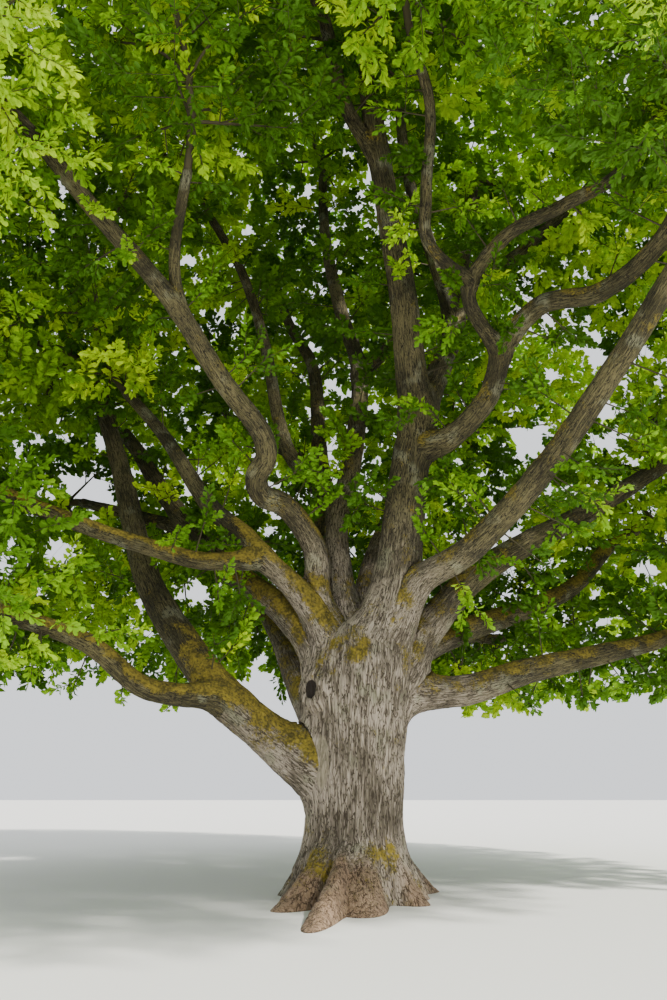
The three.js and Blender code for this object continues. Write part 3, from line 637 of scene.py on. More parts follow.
class Wire:
    """A node's output. Sums on it are written as in Python, and each adds its node."""

    def __init__(self, graph, socket):
        self.graph, self.socket = graph, socket

    def many(self):
        return self.socket.type in ("VECTOR", "RGBA")

    def maths(self, operation, *values):
        kind = "ShaderNodeVectorMath" if self.many() else "ShaderNodeMath"
        return self.graph.node(kind, {"operation": operation}, dict(enumerate(values)))

    def __add__(self, other):
        return self.maths("ADD", self, other)

    def __sub__(self, other):
        return self.maths("SUBTRACT", self, other)

    def __rsub__(self, other):
        return self.maths("SUBTRACT", other, self)

    def __abs__(self):
        return self.maths("ABSOLUTE", self)

    def __mul__(self, other):
        number = not other.many() if isinstance(other, Wire) else isinstance(other, (int, float))
        if self.many() and number:
            return self.graph.node("ShaderNodeVectorMath", {"operation": "SCALE"}, {0: self, "Scale": other})
        return self.maths("MULTIPLY", self, other)

    __radd__ = __add__
    __rmul__ = __mul__


class Graph:
    def __init__(self, tree):
        self.tree = tree
        tree.nodes.clear()

    def node(self, kind, settings=None, values=None, output=0):
        """Adds a node. values go to its inputs by name or number, and the answer is one of its outputs."""
        node = self.tree.nodes.new(kind)
        for name, value in (settings or {}).items():
            setattr(node, name, value)
        for name, value in (values or {}).items():
            sockets = [socket for socket in node.inputs if socket.enabled or isinstance(name, int)]
            socket = sockets[name] if isinstance(name, int) else next(s for s in sockets if s.name == name)
            if isinstance(value, Wire):
                self.tree.links.new(value.socket, socket)
            else:
                socket.default_value = value
        shown = [socket for socket in node.outputs if socket.enabled]
        if not shown:
            return None
        return Wire(self, shown[output] if isinstance(output, int) else node.outputs[output])

    def noise(self, place, scale, detail=3, output="Fac"):
        values = {"Vector": place, "Scale": scale, "Detail": detail}
        return self.node("ShaderNodeTexNoise", None, values, output)

    def between(self, value, low, high):
        """0 below low, 1 above high, and an even slope between."""
        values = {"Value": value, "From Min": low, "From Max": high}
        return self.node("ShaderNodeMapRange", {"interpolation_type": "SMOOTHSTEP"}, values)

    def carried(self, name, output="Fac"):
        """What the mesh carries under a name, in a shader."""
        return self.node("ShaderNodeAttribute", {"attribute_name": name}, output=output)

    def mix(self, factor, under, over):
        return self.node("ShaderNodeMix", {"data_type": "RGBA"}, {"Factor": factor, "A": under, "B": over})


RIDGE_STRETCH = 0.17
RIDGE_WARP = 0.6
RIDGE_EDGE, FURROW_EDGE = 0.045, 0.07
FURROW = 0.42
FURROW_TOP = 0.75


def ridges(graph, place, edge):
    """0 in the fissures and 1 on the long ridges of bark between them, which part and meet again."""
    drawn_out = place * (1, 1, RIDGE_STRETCH)
    bent = drawn_out + (graph.noise(drawn_out, 0.9, 2, "Color") - (0.5, 0.5, 0.5)) * RIDGE_WARP
    one = abs(graph.noise(bent, 0.9, 2) - 0.5)
    other = abs(graph.noise(bent + (31.7, 5.3, 11.9), 1.2, 2) - 0.5)
    return graph.between(one.maths("MINIMUM", one, other), 0.004, edge)


def furrows(graph, place):
    """The same for the few deep furrows."""
    return ridges(graph, place * FURROW, FURROW_EDGE)


def geometry_tree(name, inputs):
    """An empty tree with its geometry input first, and its other inputs by name."""
    tree = bpy.data.node_groups.new(name, "GeometryNodeTree")
    tree.interface.new_socket("Geometry", in_out="INPUT", socket_type="NodeSocketGeometry")
    for label, kind in inputs.items():
        tree.interface.new_socket(label, in_out="INPUT", socket_type=kind)
    tree.interface.new_socket("Geometry", in_out="OUTPUT", socket_type="NodeSocketGeometry")
    graph = Graph(tree)
    group_input = tree.nodes.new("NodeGroupInput")
    wires = {socket.name: Wire(graph, socket) for socket in group_input.outputs if socket.name}
    return graph, wires


def finish_tree(graph, geometry, material):
    realized = graph.node("GeometryNodeRealizeInstances", None, {0: geometry})
    painted = graph.node("GeometryNodeSetMaterial", None, {"Geometry": realized, "Material": material})
    graph.node("NodeGroupOutput", None, {"Geometry": painted})
    return graph.tree


def stored(graph, name, kind):
    return graph.node("GeometryNodeInputNamedAttribute", {"data_type": kind}, {"Name": name})


def relief_tree():
    """Raises the plates of bark, sinks the furrows between them, and makes the skin uneven."""
    graph, given = geometry_tree("bark_relief", {
        "Lumps": "NodeSocketFloat", "Lump Size": "NodeSocketFloat", "Material": "NodeSocketMaterial"})
    place = stored(graph, "bark_place", "FLOAT_VECTOR")
    depth = stored(graph, "relief", "FLOAT")
    position = graph.node("GeometryNodeInputPosition")
    normal = graph.node("GeometryNodeInputNormal")
    lumps = graph.noise(position, given["Lump Size"], 2) - 0.5
    height = (furrows(graph, place) - FURROW_TOP) * depth + lumps * depth * given["Lumps"]
    moved = graph.node("GeometryNodeSetPosition", None, {
        "Geometry": given["Geometry"], "Offset": normal * height})
    smooth_shaded = graph.node("GeometryNodeSetShadeSmooth", None, {"Geometry": moved})
    return finish_tree(graph, smooth_shaded, given["Material"])


def twig_tree():
    """Thin tubes along polylines, each as thick as its points say."""
    graph, given = geometry_tree("twigs_along_lines", {
        "Sides": "NodeSocketInt", "Material": "NodeSocketMaterial"})
    curves = graph.node("GeometryNodeMeshToCurve", None, {"Mesh": given["Geometry"]})
    ring = graph.node("GeometryNodeCurvePrimitiveCircle", None, {"Resolution": given["Sides"], "Radius": 1.0})
    tubes = graph.node("GeometryNodeCurveToMesh", None, {
        "Curve": curves, "Profile Curve": ring, "Scale": stored(graph, "thickness", "FLOAT"),
        "Fill Caps": True})
    smooth_shaded = graph.node("GeometryNodeSetShadeSmooth", None, {"Geometry": tubes})
    return finish_tree(graph, smooth_shaded, given["Material"])


def leaf_tree():
    """A leaf on every point, turned along its way and with its face to the light."""
    graph, given = geometry_tree("leaves_on_points", {
        "Shapes": "NodeSocketCollection", "Material": "NodeSocketMaterial"})
    shapes = graph.node("GeometryNodeCollectionInfo", None, {
        "Collection": given["Shapes"], "Separate Children": True, "Reset Children": True})
    pointed = graph.node("FunctionNodeAlignRotationToVector", {"axis": "X"}, {
        "Vector": stored(graph, "along", "FLOAT_VECTOR")})
    faced = graph.node("FunctionNodeAlignRotationToVector", {"axis": "Z", "pivot_axis": "X"}, {
        "Rotation": pointed, "Vector": stored(graph, "facing", "FLOAT_VECTOR")})
    leaves = graph.node("GeometryNodeInstanceOnPoints", None, {
        "Points": given["Geometry"], "Instance": shapes, "Pick Instance": True,
        "Instance Index": stored(graph, "shape", "INT"), "Rotation": faced,
        "Scale": stored(graph, "length", "FLOAT")})
    return finish_tree(graph, leaves, given["Material"])


def grown(name, mesh, tree, inputs):
    """The plain mesh that a tree makes of a mesh, as an object of its own."""
    source = bpy.data.objects.new(name + "_source", mesh)
    bpy.context.scene.collection.objects.link(source)
    modifier = source.modifiers.new("growth", "NODES")
    modifier.node_group = tree
    for socket in tree.interface.items_tree:
        if socket.in_out == "INPUT" and socket.name in inputs:
            modifier[socket.identifier] = inputs[socket.name]
    evaluated = source.evaluated_get(bpy.context.evaluated_depsgraph_get())
    result = bpy.data.meshes.new_from_object(evaluated)
    source.modifiers.remove(modifier)
    bpy.data.objects.remove(source)
    bpy.data.meshes.remove(mesh)
    result.name = name
    piece = bpy.data.objects.new(name, result)
    bpy.context.scene.collection.objects.link(piece)
    return piece


def dress(piece, slot, *nodes):
    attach(piece, "root")
    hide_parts(*nodes)


# Materials


def linear(red, green, blue):
    """A colour as it is seen, from 0 to 255, in the numbers that shaders take."""
    return (*(((c / 255 + 0.055) / 1.055) ** 2.4 for c in (red, green, blue)), 1)


def shader(name, roughness, colour=None):
    material = bpy.data.materials.new(name)
    material.use_nodes = True
    graph = Graph(material.node_tree)
    surface = graph.node("ShaderNodeBsdfPrincipled", None, {"Roughness": roughness})
    if colour:
        surface.socket.node.inputs["Base Color"].default_value = colour
        material.diffuse_color = colour
    graph.node("ShaderNodeOutputMaterial", None, {"Surface": surface})
    return material, graph, surface.socket.node


# Tones of the trunk's bark, of the boughs' bark darkened by painted shade of the crown, of the roots, and of
# what grows on them.
FISSURE = linear(72, 63, 50)
BARK_SHADE = linear(112, 102, 87)
BARK_LIGHT = linear(182, 168, 151)
# The boughs' tones: the bark's colour with painted shade of the crown.
CROWN_SHADED_FISSURE = linear(34, 30, 18)
CROWN_SHADED_DARK_TONE = linear(66, 60, 36)
CROWN_SHADED_LIGHT_TONE = linear(114, 105, 70)
LICHEN = linear(156, 156, 128)
ROOT_FISSURE = linear(82, 62, 44)
ROOT_TONE = linear(148, 120, 93)
# The moss's dark tone is painted shade and its light tone painted light, mixed in tufts that are also its own
# mottling.
MOSS_DARK = linear(76, 68, 24)
MOSS_LIGHT = linear(152, 133, 44)
SCAR_WOOD = linear(46, 38, 32)
BARE_WOOD = linear(160, 150, 126)
# How many times to a metre the noises in the bark repeat, roughly, and how much of the roots' own tone shows.
BLOTCHES, LICHENS, MOSSES, CLUMPS, TUFTS, GRAINS = 1.3, 2.3, 2.8, 6, 24, 26
ROOT_SHOWN = 0.8


def fissured_bark(name, with_marks=False):
    """Bark of ridges in two tones between dark fissures, with lichen and moss, and on the trunk also with
    roots of their own tone and marks of bare wood."""
    material, graph, surface = shader(name, 0.93)
    place = graph.carried("bark_place", "Vector")
    position = graph.node("ShaderNodeTexCoord", output="Object")
    fine, deep = ridges(graph, place, RIDGE_EDGE), furrows(graph, place)
    streaks = graph.noise(place * (1, 1, 0.1), 1.6, 4)
    blotches = graph.noise(position, BLOTCHES, 4)
    grain = graph.noise(position, GRAINS)
    light = graph.between(streaks + (blotches - 0.5) * 1.1, 0.34, 0.68)
    # Painted shade of the crown darkens the ridges and fissures wherever the mesh carries it.
    painted_crown_shade = graph.carried("painted_crown_shade")
    ridge_tone = graph.mix(
        painted_crown_shade, graph.mix(light, BARK_SHADE, BARK_LIGHT), graph.mix(light, CROWN_SHADED_DARK_TONE, CROWN_SHADED_LIGHT_TONE))
    ridge_tone = graph.mix(graph.between(graph.noise(position, LICHENS), 0.56, 0.7) * 0.5, ridge_tone, LICHEN)
    fissure = graph.mix(painted_crown_shade, FISSURE, CROWN_SHADED_FISSURE)
    if with_marks:
        rooted = graph.between(graph.carried("root") + (blotches - 0.5) * 1.6, 0.3, 1.0) * ROOT_SHOWN
        ridge_tone = graph.mix(rooted, ridge_tone, ROOT_TONE)
        fissure = graph.mix(rooted, fissure, ROOT_FISSURE)
    shown = fine * 0.72 + deep * 0.28 + (grain - 0.5) * 0.45 + (blotches - 0.5) * 0.5
    colour = graph.mix(graph.between(shown, 0.12, 0.72), fissure, ridge_tone)
    patches = graph.noise(position, MOSSES, 5) + (grain - 0.5) * 0.45 + (fine - 0.5) * 0.1
    mossy = graph.between(graph.carried("moss") + (patches - 0.5) * 2.6, 0.42, 0.85)
    # Painted shade and painted light on the moss: its dark and light tones lie in mottled tufts, partly the
    # moss's own mottling.
    tufts = graph.noise(position, TUFTS) + (graph.noise(position, CLUMPS) - 0.5) * 0.8
    moss_tone = graph.mix(graph.between(tufts, 0.2, 0.78), MOSS_DARK, MOSS_LIGHT)
    colour = graph.mix(mossy, colour, moss_tone)
    if with_marks:
        for mark, tone, strength in (("bare", BARE_WOOD, 0.6), ("scar", SCAR_WOOD, 1)):
            seen = graph.between(graph.carried(mark) + (grain - 0.5) * 0.3, 0.3, 0.6) * strength
            colour = graph.mix(seen, colour, tone)
    graph.tree.links.new(colour.socket, surface.inputs["Base Color"])
    height = fine + deep + streaks * 0.3 + grain * 0.3 + mossy * tufts
    bump = graph.node("ShaderNodeBump", None, {"Strength": 0.6, "Distance": 0.02, "Height": height})
    graph.tree.links.new(bump.socket, surface.inputs["Normal"])
    return material


# Growth


class Draws:
    """Random numbers from 0 to 1, the same for the same seed, as the solids draw them."""

    powers = None

    def __init__(self, seed, count=300000):
        if Draws.powers is None:
            powers = [RANDOM_FACTOR]
            for _ in range(count - 1):
                powers.append(powers[-1] * RANDOM_FACTOR % RANDOM_MODULUS)
            Draws.powers = np.array(powers, dtype=np.int64)
        first = (seed * RANDOM_SPREAD + RANDOM_FIRST) % RANDOM_MODULUS
        self.values = first * Draws.powers % RANDOM_MODULUS / RANDOM_MODULUS
        self.used = 0

    def look(self, count):
        return self.values[self.used : self.used + count]

    def take(self, count):
        self.used += count
        return self.values[self.used - count : self.used]


def crown_share(points):
    """Below 1 inside the crown's surface, and 0 at its middle."""
    away = points - CROWN_MIDDLE
    above = (np.abs(away[..., 2]) / CROWN_ABOVE) ** CROWN_POWER_ABOVE
    below = (np.abs(away[..., 2]) / CROWN_BELOW) ** CROWN_POWER_BELOW
    flat = (away[..., 0] / CROWN_WIDE) ** 2 + (away[..., 1] / CROWN_DEEP) ** 2
    return flat + np.where(away[..., 2] > 0, above, below)


def space_of(name):
    """Tells what is in the mass's own space: within its reach, inside the crown's surface, and on its side of
    the planes between it and the others."""
    _, middle, reach = MASSES[name]
    middle = np.array(middle)
    normals, offsets = [], []
    for other, (_, other_middle, other_reach) in MASSES.items():
        if other != name:
            away = np.array(other_middle) - middle
            far = np.linalg.norm(away)
            normals.append(away / far)
            offsets.append((far**2 + reach**2 - other_reach**2) / (2 * far) - CLEARANCE)
    normals, offsets = np.array(normals), np.array(offsets)

    def inside(points):
        away = points - middle
        own = ((away / (1, 1, FLATNESS)) ** 2).sum(-1) / reach**2
        return (own < 1) & (crown_share(points) < 1) & (away @ normals.T < offsets).all(-1)

    return inside


def seen_through(points, ragged):
    """True where a gap lets the sky through. Each point draws its own share of the gap's width."""
    away = unit(points - EYE)
    sight = np.array([direction(heading, climb) for heading, climb, _ in SKY_GAPS])
    widths = np.radians([half for _, _, half in SKY_GAPS]) * ragged.uniform(*RAGGED, (len(points), 1))
    return (away @ sight.T > np.cos(widths)).any(-1)


def from_eye(points):
    """Distance from EYE against the one from which leaves have their full size."""
    return np.linalg.norm(points - EYE, axis=-1) / FULL_SIZE_FROM


def spread_on(points, space, middle, reach, count, share, draws, extra=None):
    """Adds points one by one, each as far from the others as one of the candidates can be."""
    added = []
    while len(added) < count:
        tries = MOST_TRIES if len(added) < MAIN_TWIGS and extra is None else FINE_TRIES
        batch = draws.look(3 * tries)
        offsets = batch[: len(batch) // 3 * 3].reshape(-1, 3) * 2 - 1
        tried = middle + offsets * reach
        fits = space(tried)
        if extra is not None:
            fits &= extra(tried)
        found = np.flatnonzero(fits)[:CANDIDATES]
        if not len(found):
            draws.take(3 * len(offsets))
            if draws.used > len(draws.values) - 3 * FINE_TRIES:
                break
            continue
        draws.take(3 * (found[-1] + 1 if len(found) == CANDIDATES else len(offsets)))
        if draws.used > len(draws.values) - 3 * MOST_TRIES:
            break
        candidates = lerp(tried[found], middle, 1 - share)
        others = np.array(points + added)
        if len(others):
            apart = np.linalg.norm(candidates[:, None] - others[None], axis=2).min(1)
            added.append(candidates[apart.argmax()])
        else:
            added.append(candidates[0])
    return added


def curve_places(start, bend, end, shares):
    shares = np.asarray(shares)[:, None]
    return (1 - shares) ** 2 * start + 2 * shares * (1 - shares) * bend + shares**2 * end


class Twigs:
    """Many twigs: their polylines, how thick those are along them, and the spray at the end of each that has
    one. Sprays of one family grow on twigs that spring from each other."""

    def __init__(self, steps):
        self.steps = steps
        self.lines, self.thickness, self.tips, self.ways, self.families = [], [], [], [], []

    def add(self, start, bend, end, foot, tip, family=None):
        shares = np.linspace(0, 1, self.steps + 1)
        places = curve_places(start, bend, end, shares)
        self.lines.append(places)
        self.thickness.append(lerp(foot, tip, shares))
        if family is not None:
            self.tips.append(places[-1])
            self.ways.append(unit(places[-1] - places[-2]))
            self.families.append(family)


def grow_mass(name, seed, limbs, touches, stems, twigs):
    """A stem on from the tip of a limb, main twigs on it, and finer twigs on those. Each springs from the
    joint that is nearest to its end, where the way along the wood counts too."""
    limb_name, middle, reach = MASSES[name]
    middle = np.array(middle)
    draws = Draws(seed)
    space = space_of(name)
    limb = limbs[limb_name]
    start, before = limb.line.at([1.0, 0.999])
    way = unit(start - before)
    to_middle = np.linalg.norm(start - middle)
    end = lerp(start, middle, STEM_REACH)
    bend = start + way * to_middle * BEND
    joints = {"place": [], "way": [], "path": [], "radius": [], "family": []}
    ragged = np.random.default_rng(seed)

    def remember(first, control, last, path, foot, tip, shares, family):
        places = curve_places(first, control, last, shares)
        ahead = curve_places(first, control, last, shares + 0.01)
        steps = np.diff(curve_places(first, control, last, np.linspace(0, 1, 5)), axis=0)
        length = np.linalg.norm(steps, axis=1).sum()
        joints["place"] += list(places)
        joints["way"] += list(unit(ahead - places))
        joints["path"] += list(path + length * shares)
        joints["radius"] += list(lerp(foot, tip, shares))
        joints["family"] += [family] * len(shares)

    stems.add(start - way * STEM_SUNK, bend, end, limb.tip * STEM_FOOT, STEM_TIP)
    remember(start, bend, end, 0, limb.tip * STEM_FOOT, STEM_TIP, STEM_JOINTS, 0)

    def branch(target, foot_share, tip, kind, shares):
        places = np.array(joints["place"])
        cost = np.linalg.norm(places - target, axis=1) + DETOUR * np.array(joints["path"])
        index = int(cost.argmin())
        place, far = places[index], np.linalg.norm(places[index] - target)
        straight = 1 if kind is twigs else STRAIGHTEN
        control = lerp(place + joints["way"][index] * far * BEND, lerp(place, target, 0.5), straight)
        foot = max(joints["radius"][index] * foot_share, tip)
        third = curve_places(place, control, target, [JOINED])[0]
        if touches(third, target, foot):
            return
        family = joints["family"][index]
        if kind is twigs and not family:
            family = seed * FAMILY_STEP + len(joints["family"])
        kind.add(place, control, target, foot, tip, family)
        remember(place, control, target, joints["path"][index], foot, tip, shares, family)

    targets = spread_on([], space, middle, reach, MAIN_TWIGS, MAIN_TWIG_REACH, draws)
    for target in targets:
        branch(target, TWIG_FOOT, TWIG_TIP, stems, STEM_JOINTS)

    def outer(points):
        return (crown_share(points) > INNER_HOLLOW) & ~seen_through(points, ragged)

    room = outer(middle + ROOM_SAMPLES * reach) & space(middle + ROOM_SAMPLES * reach)
    density = FINE_TWIGS * np.clip(from_eye(middle) ** TWIG_POWER, FEW_TWIGS, MANY_TWIGS)
    count = round(density * room.mean() * (2 * reach) ** 3)
    finer = spread_on(targets, space, middle, reach, count, FINE_TWIG_REACH, draws, outer)
    for target in finer:
        branch(target, FINE_TWIG_FOOT, FINE_TWIG_TIP, twigs, TWIG_JOINTS)


def touching(limbs):
    """Tells whether a straight stretch comes too near any limb."""
    places = np.concatenate([limb.places[::2] for limb in limbs.values()])
    radii = np.concatenate([limb.radii[::2] for limb in limbs.values()])

    def touches(start, end, room):
        span = end - start
        part = np.clip((places - start) @ span / (span @ span), 0, 1)
        return (np.linalg.norm(places - start - part[:, None] * span, axis=1) < radii + room).any()

    return touches


def add_shoots(limbs, touches, twigs, random):
    """Leafy shoots that branch once, along the limbs inside the crown."""

    def shoot(foot, way, length, thick, tip, family):
        end = foot + way * length
        blocked = touches(lerp(foot, end, SHOOT_JOINED), end, CLEARANCE)
        if blocked or seen_through(end[None], random)[0] or crown_share(end) > 1:
            return None
        twigs.add(foot, lerp(foot, end, 0.5), end, thick, tip, family)
        return end

    for number, (name, limb) in enumerate(limbs.items()):
        a_metre, size, lift = SHOOTS.get(name, USUAL_SHOOTS)
        bare = BARE_FOOT if LIMBS[name][0] == "trunk" else BARE_LIMB_FOOT
        leafy = limb.length - bare
        for share in (bare + random.uniform(0, leafy, round(leafy * a_metre))) / limb.length:
            place, ahead = limb.line.along([share, min(share + 0.01, 1)])
            out = np.cross(ahead - place, random.normal(size=3))
            out = unit(unit(out) + np.array([0, 0, lift]))
            start = place + out * float(limb.radius(share)) * SHOOT_FROM
            family = -1 - number * FAMILY_STEP - round(share * 999)
            end = shoot(start, out, size * random.uniform(*SHOOT_LENGTHS), SHOOT_FOOT, SHOOT_TIP, family)
            if end is None:
                continue
            for foot_share in random.uniform(*SIDE_SHOOT_FEET, random.integers(*SIDE_SHOOTS)):
                way = unit(out + random.normal(size=3) * SHOOT_SPREAD + np.array([0, 0, lift * SIDE_LIFT]))
                length = size * random.uniform(*SIDE_LENGTHS)
                shoot(lerp(start, end, foot_share), way, length, SHOOT_TIP, FINE_TWIG_TIP, family)


def lines_mesh(name, twigs):
    mesh = bpy.data.meshes.new(name)
    count = len(twigs.lines[0])
    firsts = np.arange(len(twigs.lines))[:, None] * count + np.arange(count - 1)
    edges = np.stack([firsts, firsts + 1], -1).reshape(-1, 2)
    mesh.from_pydata(np.concatenate(twigs.lines).tolist(), edges.tolist(), [])
    point_values(mesh, "thickness", "FLOAT", np.concatenate(twigs.thickness))
    return mesh


# Leaves

# Half of each leaf's outline, from its root at 0 to its tip at 1. The nearer to EYE, the more of it is there.
LOBED = [(0, 0), (0.34, 0.2), (0.47, 0.13), (0.78, 0.28), (1, 0)]
LOBED_FACES = [(0, 1, 2), (0, 2, 4), (2, 3, 4), (0, 6, 5), (0, 4, 6), (6, 4, 7)]
BLUNT = [(0, 0), (0.46, 0.23), (0.82, 0.26), (1, 0)]
BLUNT_FACES = [(0, 1, 2), (0, 2, 3), (0, 5, 4), (0, 3, 5)]
PLAIN = [(0, 0), (0.64, 0.3), (1, 0)]
PLAIN_FACES = [(0, 1, 2), (0, 2, 3)]
LEAF_FOLD = 0.3
LEAF_DROOP = 0.12
LEAF_SHINE = 0.2

# Each green's colour, and its share of the sprays from the brightest place to the darkest. The greens are one
# leaf's colour with painted light and painted shade, from sunlit to shaded.
GREENS = {
    "leaves_sunlit": (linear(194, 226, 34), 0.204),
    "leaves_bright": (linear(168, 208, 26), 0.198),
    "leaves_fresh": (linear(134, 180, 21), 0.199),
    "leaves_deep": (linear(101, 148, 19), 0.197),
    "leaves_shaded": (linear(72, 113, 17), 0.202),
}
# How much brighter sprays are painted at the crown's surface than in its middle, and for each metre up, as
# painted light and painted shade, and how much families and single sprays differ at random.
PAINTED_LIGHT_OUT, PAINTED_LIGHT_UP = 0.5, 0.02
FAMILY_TONES, SPRAY_TONES = 0.32, 0.1
LEAF_SEED = 7


def leaf_shapes():
    """Three leaves in a collection, each folded along its midrib, its root at the origin and its tip at 1
    along X."""
    shapes = bpy.data.collections.new("leaf_shapes")
    bpy.context.scene.collection.children.link(shapes)
    kinds = ("1_plain", PLAIN, PLAIN_FACES), ("2_blunt", BLUNT, BLUNT_FACES), ("3_lobed", LOBED, LOBED_FACES)
    for name, outline, faces in kinds:
        right = [(x, -y, LEAF_FOLD * y - LEAF_DROOP * x * x) for x, y in outline]
        left = [(x, -y, z) for x, y, z in right[1:-1]]
        mesh = bpy.data.meshes.new(name)
        mesh.from_pydata(right + left, [], faces)
        shapes.objects.link(bpy.data.objects.new(name, mesh))
    return shapes


def leaves_of_sprays(tips, ways, families, random):
    """Roots, ways, faces and lengths of the leaves of every spray, SPRAY_LEAVES to each."""
    count = len(tips)
    share = (np.arange(SPRAY_LEAVES) + 0.5) / SPRAY_LEAVES
    turn = np.arange(SPRAY_LEAVES) * LEAF_TURN + random.uniform(0, 6.28, (count, 1))
    side = unit(np.cross(ways, [0, 0, 1]) + 1e-6)
    over = np.cross(side, ways)
    lean = np.radians(lerp(*LEAF_LEANS, share))[None] + random.normal(0, LEAN_SPREAD, (count, SPRAY_LEAVES))
    out = side[:, None] * np.cos(turn)[..., None] + over[:, None] * (np.sin(turn) * LEVEL)[..., None]
    along = ways[:, None] * np.cos(lean)[..., None] + out * np.sin(lean)[..., None]
    along += random.normal(0, WAY_SPREAD, along.shape)
    along[..., 2] = along[..., 2] * LEVEL - HANG
    along = unit(along)
    roots = tips[:, None] - ways[:, None] * (SPRAY_LENGTH * share)[None, :, None] + along * LEAF_STALK
    outward = unit((tips - CROWN_MIDDLE) / (CROWN_WIDE, CROWN_DEEP, CROWN_ABOVE))
    light = FACE_OUT * outward + np.array([0, 0, FACE_UP])
    facing = light[:, None] + random.normal(0, FACE_SPREAD, along.shape) + FACE_ROUND * out
    size = np.clip(from_eye(tips) ** LEAF_POWER, NEAR_LEAF, FAR_LEAF) * np.where(families < 0, SHOOT_LEAF, 1)
    length = LEAF_LENGTH * size[:, None] * random.uniform(*LENGTHS, (count, SPRAY_LEAVES))
    return roots, along, facing, length


def deal_tones(tips, families, random):
    """A green for every spray: mostly brighter towards the outside and the top of the crown as painted light,
    darker inside as painted shade, and alike in a family."""
    _, family = np.unique(families, return_inverse=True)
    # Painted light and shade: outer and higher sprays get the brighter greens, inner ones the darker.
    light = PAINTED_LIGHT_OUT * crown_share(tips) + PAINTED_LIGHT_UP * (tips[:, 2] - CROWN_MIDDLE[2])
    of_family = random.normal(0, FAMILY_TONES, family.max() + 1)[family]
    light += of_family + random.normal(0, SPRAY_TONES, len(tips))
    order = np.argsort(np.argsort(-light)) / len(tips)
    ends = np.cumsum([share for _, share in GREENS.values()])
    return np.searchsorted(ends[:-1], order)


def clear_leaves(tips, limbs):
    """False where a leaf leaves the crown or runs into a limb."""
    good = crown_share(tips) < 1
    for limb in limbs.values():
        low, high = box_of(limb)
        near = good & ((tips > low) & (tips < high)).all(-1)
        if near.any():
            far, _ = limb.distance(tips[near])
            good[near] &= far > LEAF_CLEAR_OF_LIMBS
    return good


def leaf_pieces(sprays, ways, families, limbs, masses):
    random = np.random.default_rng(LEAF_SEED)
    tree, shapes = leaf_tree(), leaf_shapes()
    tones = deal_tones(sprays, families, random)
    for index, (name, (colour, _)) in enumerate(GREENS.items()):
        chosen = tones == index
        leaves = leaves_of_sprays(sprays[chosen], ways[chosen], families[chosen], random)
        roots, along, facing = (each.reshape(-1, 3) for each in leaves[:3])
        length = leaves[3].ravel()
        good = clear_leaves(roots + along * length[:, None], limbs)
        points = bpy.data.meshes.new(name)
        points.from_pydata(roots[good].tolist(), [], [])
        point_values(points, "along", "FLOAT_VECTOR", along[good])
        point_values(points, "facing", "FLOAT_VECTOR", facing[good])
        point_values(points, "length", "FLOAT", length[good])
        away = from_eye(roots[good]) * FULL_SIZE_FROM
        point_values(points, "shape", "INT", (away < BLUNT_WITHIN).astype(int) + (away < LOBED_WITHIN))
        material, _, surface = shader(name, 0.6, colour)
        surface.inputs["Specular IOR Level"].default_value = LEAF_SHINE
        piece = grown(name, points, tree, {"Shapes": shapes, "Material": material})
        dress(piece, "leaves", *masses)
    for leaf in list(shapes.objects):
        bpy.data.objects.remove(leaf)
    bpy.data.collections.remove(shapes)


def twig_piece(name, twigs, sides, material, masses):
    piece = grown(name, lines_mesh(name, twigs), twig_tree(), {"Sides": sides, "Material": material})
    dress(piece, "bark", *masses)


# Studio


FLOOR_SIZE = 70
SUN_FROM = direction(324, 45)


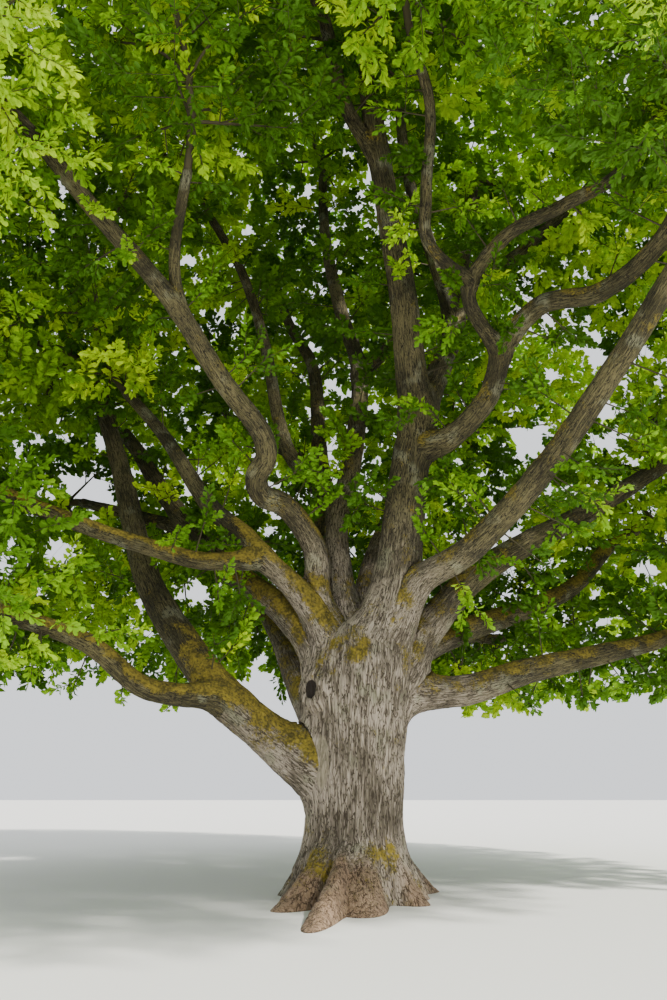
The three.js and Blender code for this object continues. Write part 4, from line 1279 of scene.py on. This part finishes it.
def studio():
    mesh = bpy.data.meshes.new("floor")
    corners = [(x * FLOOR_SIZE, y * FLOOR_SIZE, 0) for x, y in ((-1, -1), (1, -1), (1, 1), (-1, 1))]
    mesh.from_pydata(corners, [], [(0, 1, 2, 3)])
    mesh.materials.append(shader("pale_floor", 0.9, linear(226, 226, 222))[0])
    floor = bpy.data.objects.new("floor", mesh)
    bpy.context.scene.collection.objects.link(floor)

    world = bpy.data.worlds.new("studio")
    world.use_nodes = True
    background = world.node_tree.nodes["Background"]
    background.inputs["Color"].default_value = (0.93, 0.96, 1.0, 1)
    background.inputs["Strength"].default_value = 1.3
    bpy.context.scene.world = world

    sun = bpy.data.lights.new("soft_sun", "SUN")
    sun.energy = 7.5
    sun.angle = math.radians(3)
    sun.color = (1.0, 0.96, 0.88)
    lamp = bpy.data.objects.new("soft_sun", sun)
    lamp.rotation_euler = Vector(SUN_FROM).to_track_quat("Z", "Y").to_euler()
    bpy.context.scene.collection.objects.link(lamp)

    camera = bpy.data.cameras.new("camera")
    camera.sensor_fit = "VERTICAL"
    camera.sensor_height = 36
    camera.lens = 28
    camera.clip_end = 300
    viewer = bpy.data.objects.new("camera", camera)
    viewer.location = EYE
    viewer.rotation_euler = (math.radians(110), 0, 0)
    bpy.context.scene.collection.objects.link(viewer)
    bpy.context.scene.camera = viewer


# How strong and how close together the unevenness of the skin is.
TRUNK_LUMPS = {"Lumps": 2.4, "Lump Size": 1.6}
LIMB_LUMPS = {"Lumps": 2.6, "Lump Size": 2.6}
# The steps along each line, and the sides round it.
STEM_STEPS, STEM_SIDES = 8, 7
TWIG_STEPS, TWIG_SIDES = 1, 3


def main():
    limbs = lay_out_limbs()
    relief = relief_tree()
    trunk_bark, limb_bark = fissured_bark("trunk_bark", True), fissured_bark("limb_bark")
    trunk = grown("bark_trunk", trunk_mesh(limbs), relief, {**TRUNK_LUMPS, "Material": trunk_bark})
    dress(trunk, "bark", "trunk")
    for name, limb in limbs.items():
        piece = grown("bark_" + name, limb_mesh(limb, limbs), relief, {**LIMB_LUMPS, "Material": limb_bark})
        dress(piece, "bark", name)

    stems, twigs = Twigs(STEM_STEPS), Twigs(TWIG_STEPS)
    touches = touching(limbs)
    for index, name in enumerate(MASSES):
        grow_mass(name, index + 1, limbs, touches, stems, twigs)
    add_shoots(limbs, touches, twigs, np.random.default_rng(SHOOT_SEED))
    masses = ["foliage_" + name for name in MASSES]
    twig_bark = shader("twig_bark", 0.9, linear(78, 71, 48))[0]
    twig_piece("stems", stems, STEM_SIDES, twig_bark, masses)
    twig_piece("twigs", twigs, TWIG_SIDES, twig_bark, masses)
    sprays, ways = np.array(stems.tips + twigs.tips), np.array(stems.ways + twigs.ways)
    leaf_pieces(sprays, ways, np.array(stems.families + twigs.families), limbs, masses)
    studio()


main()
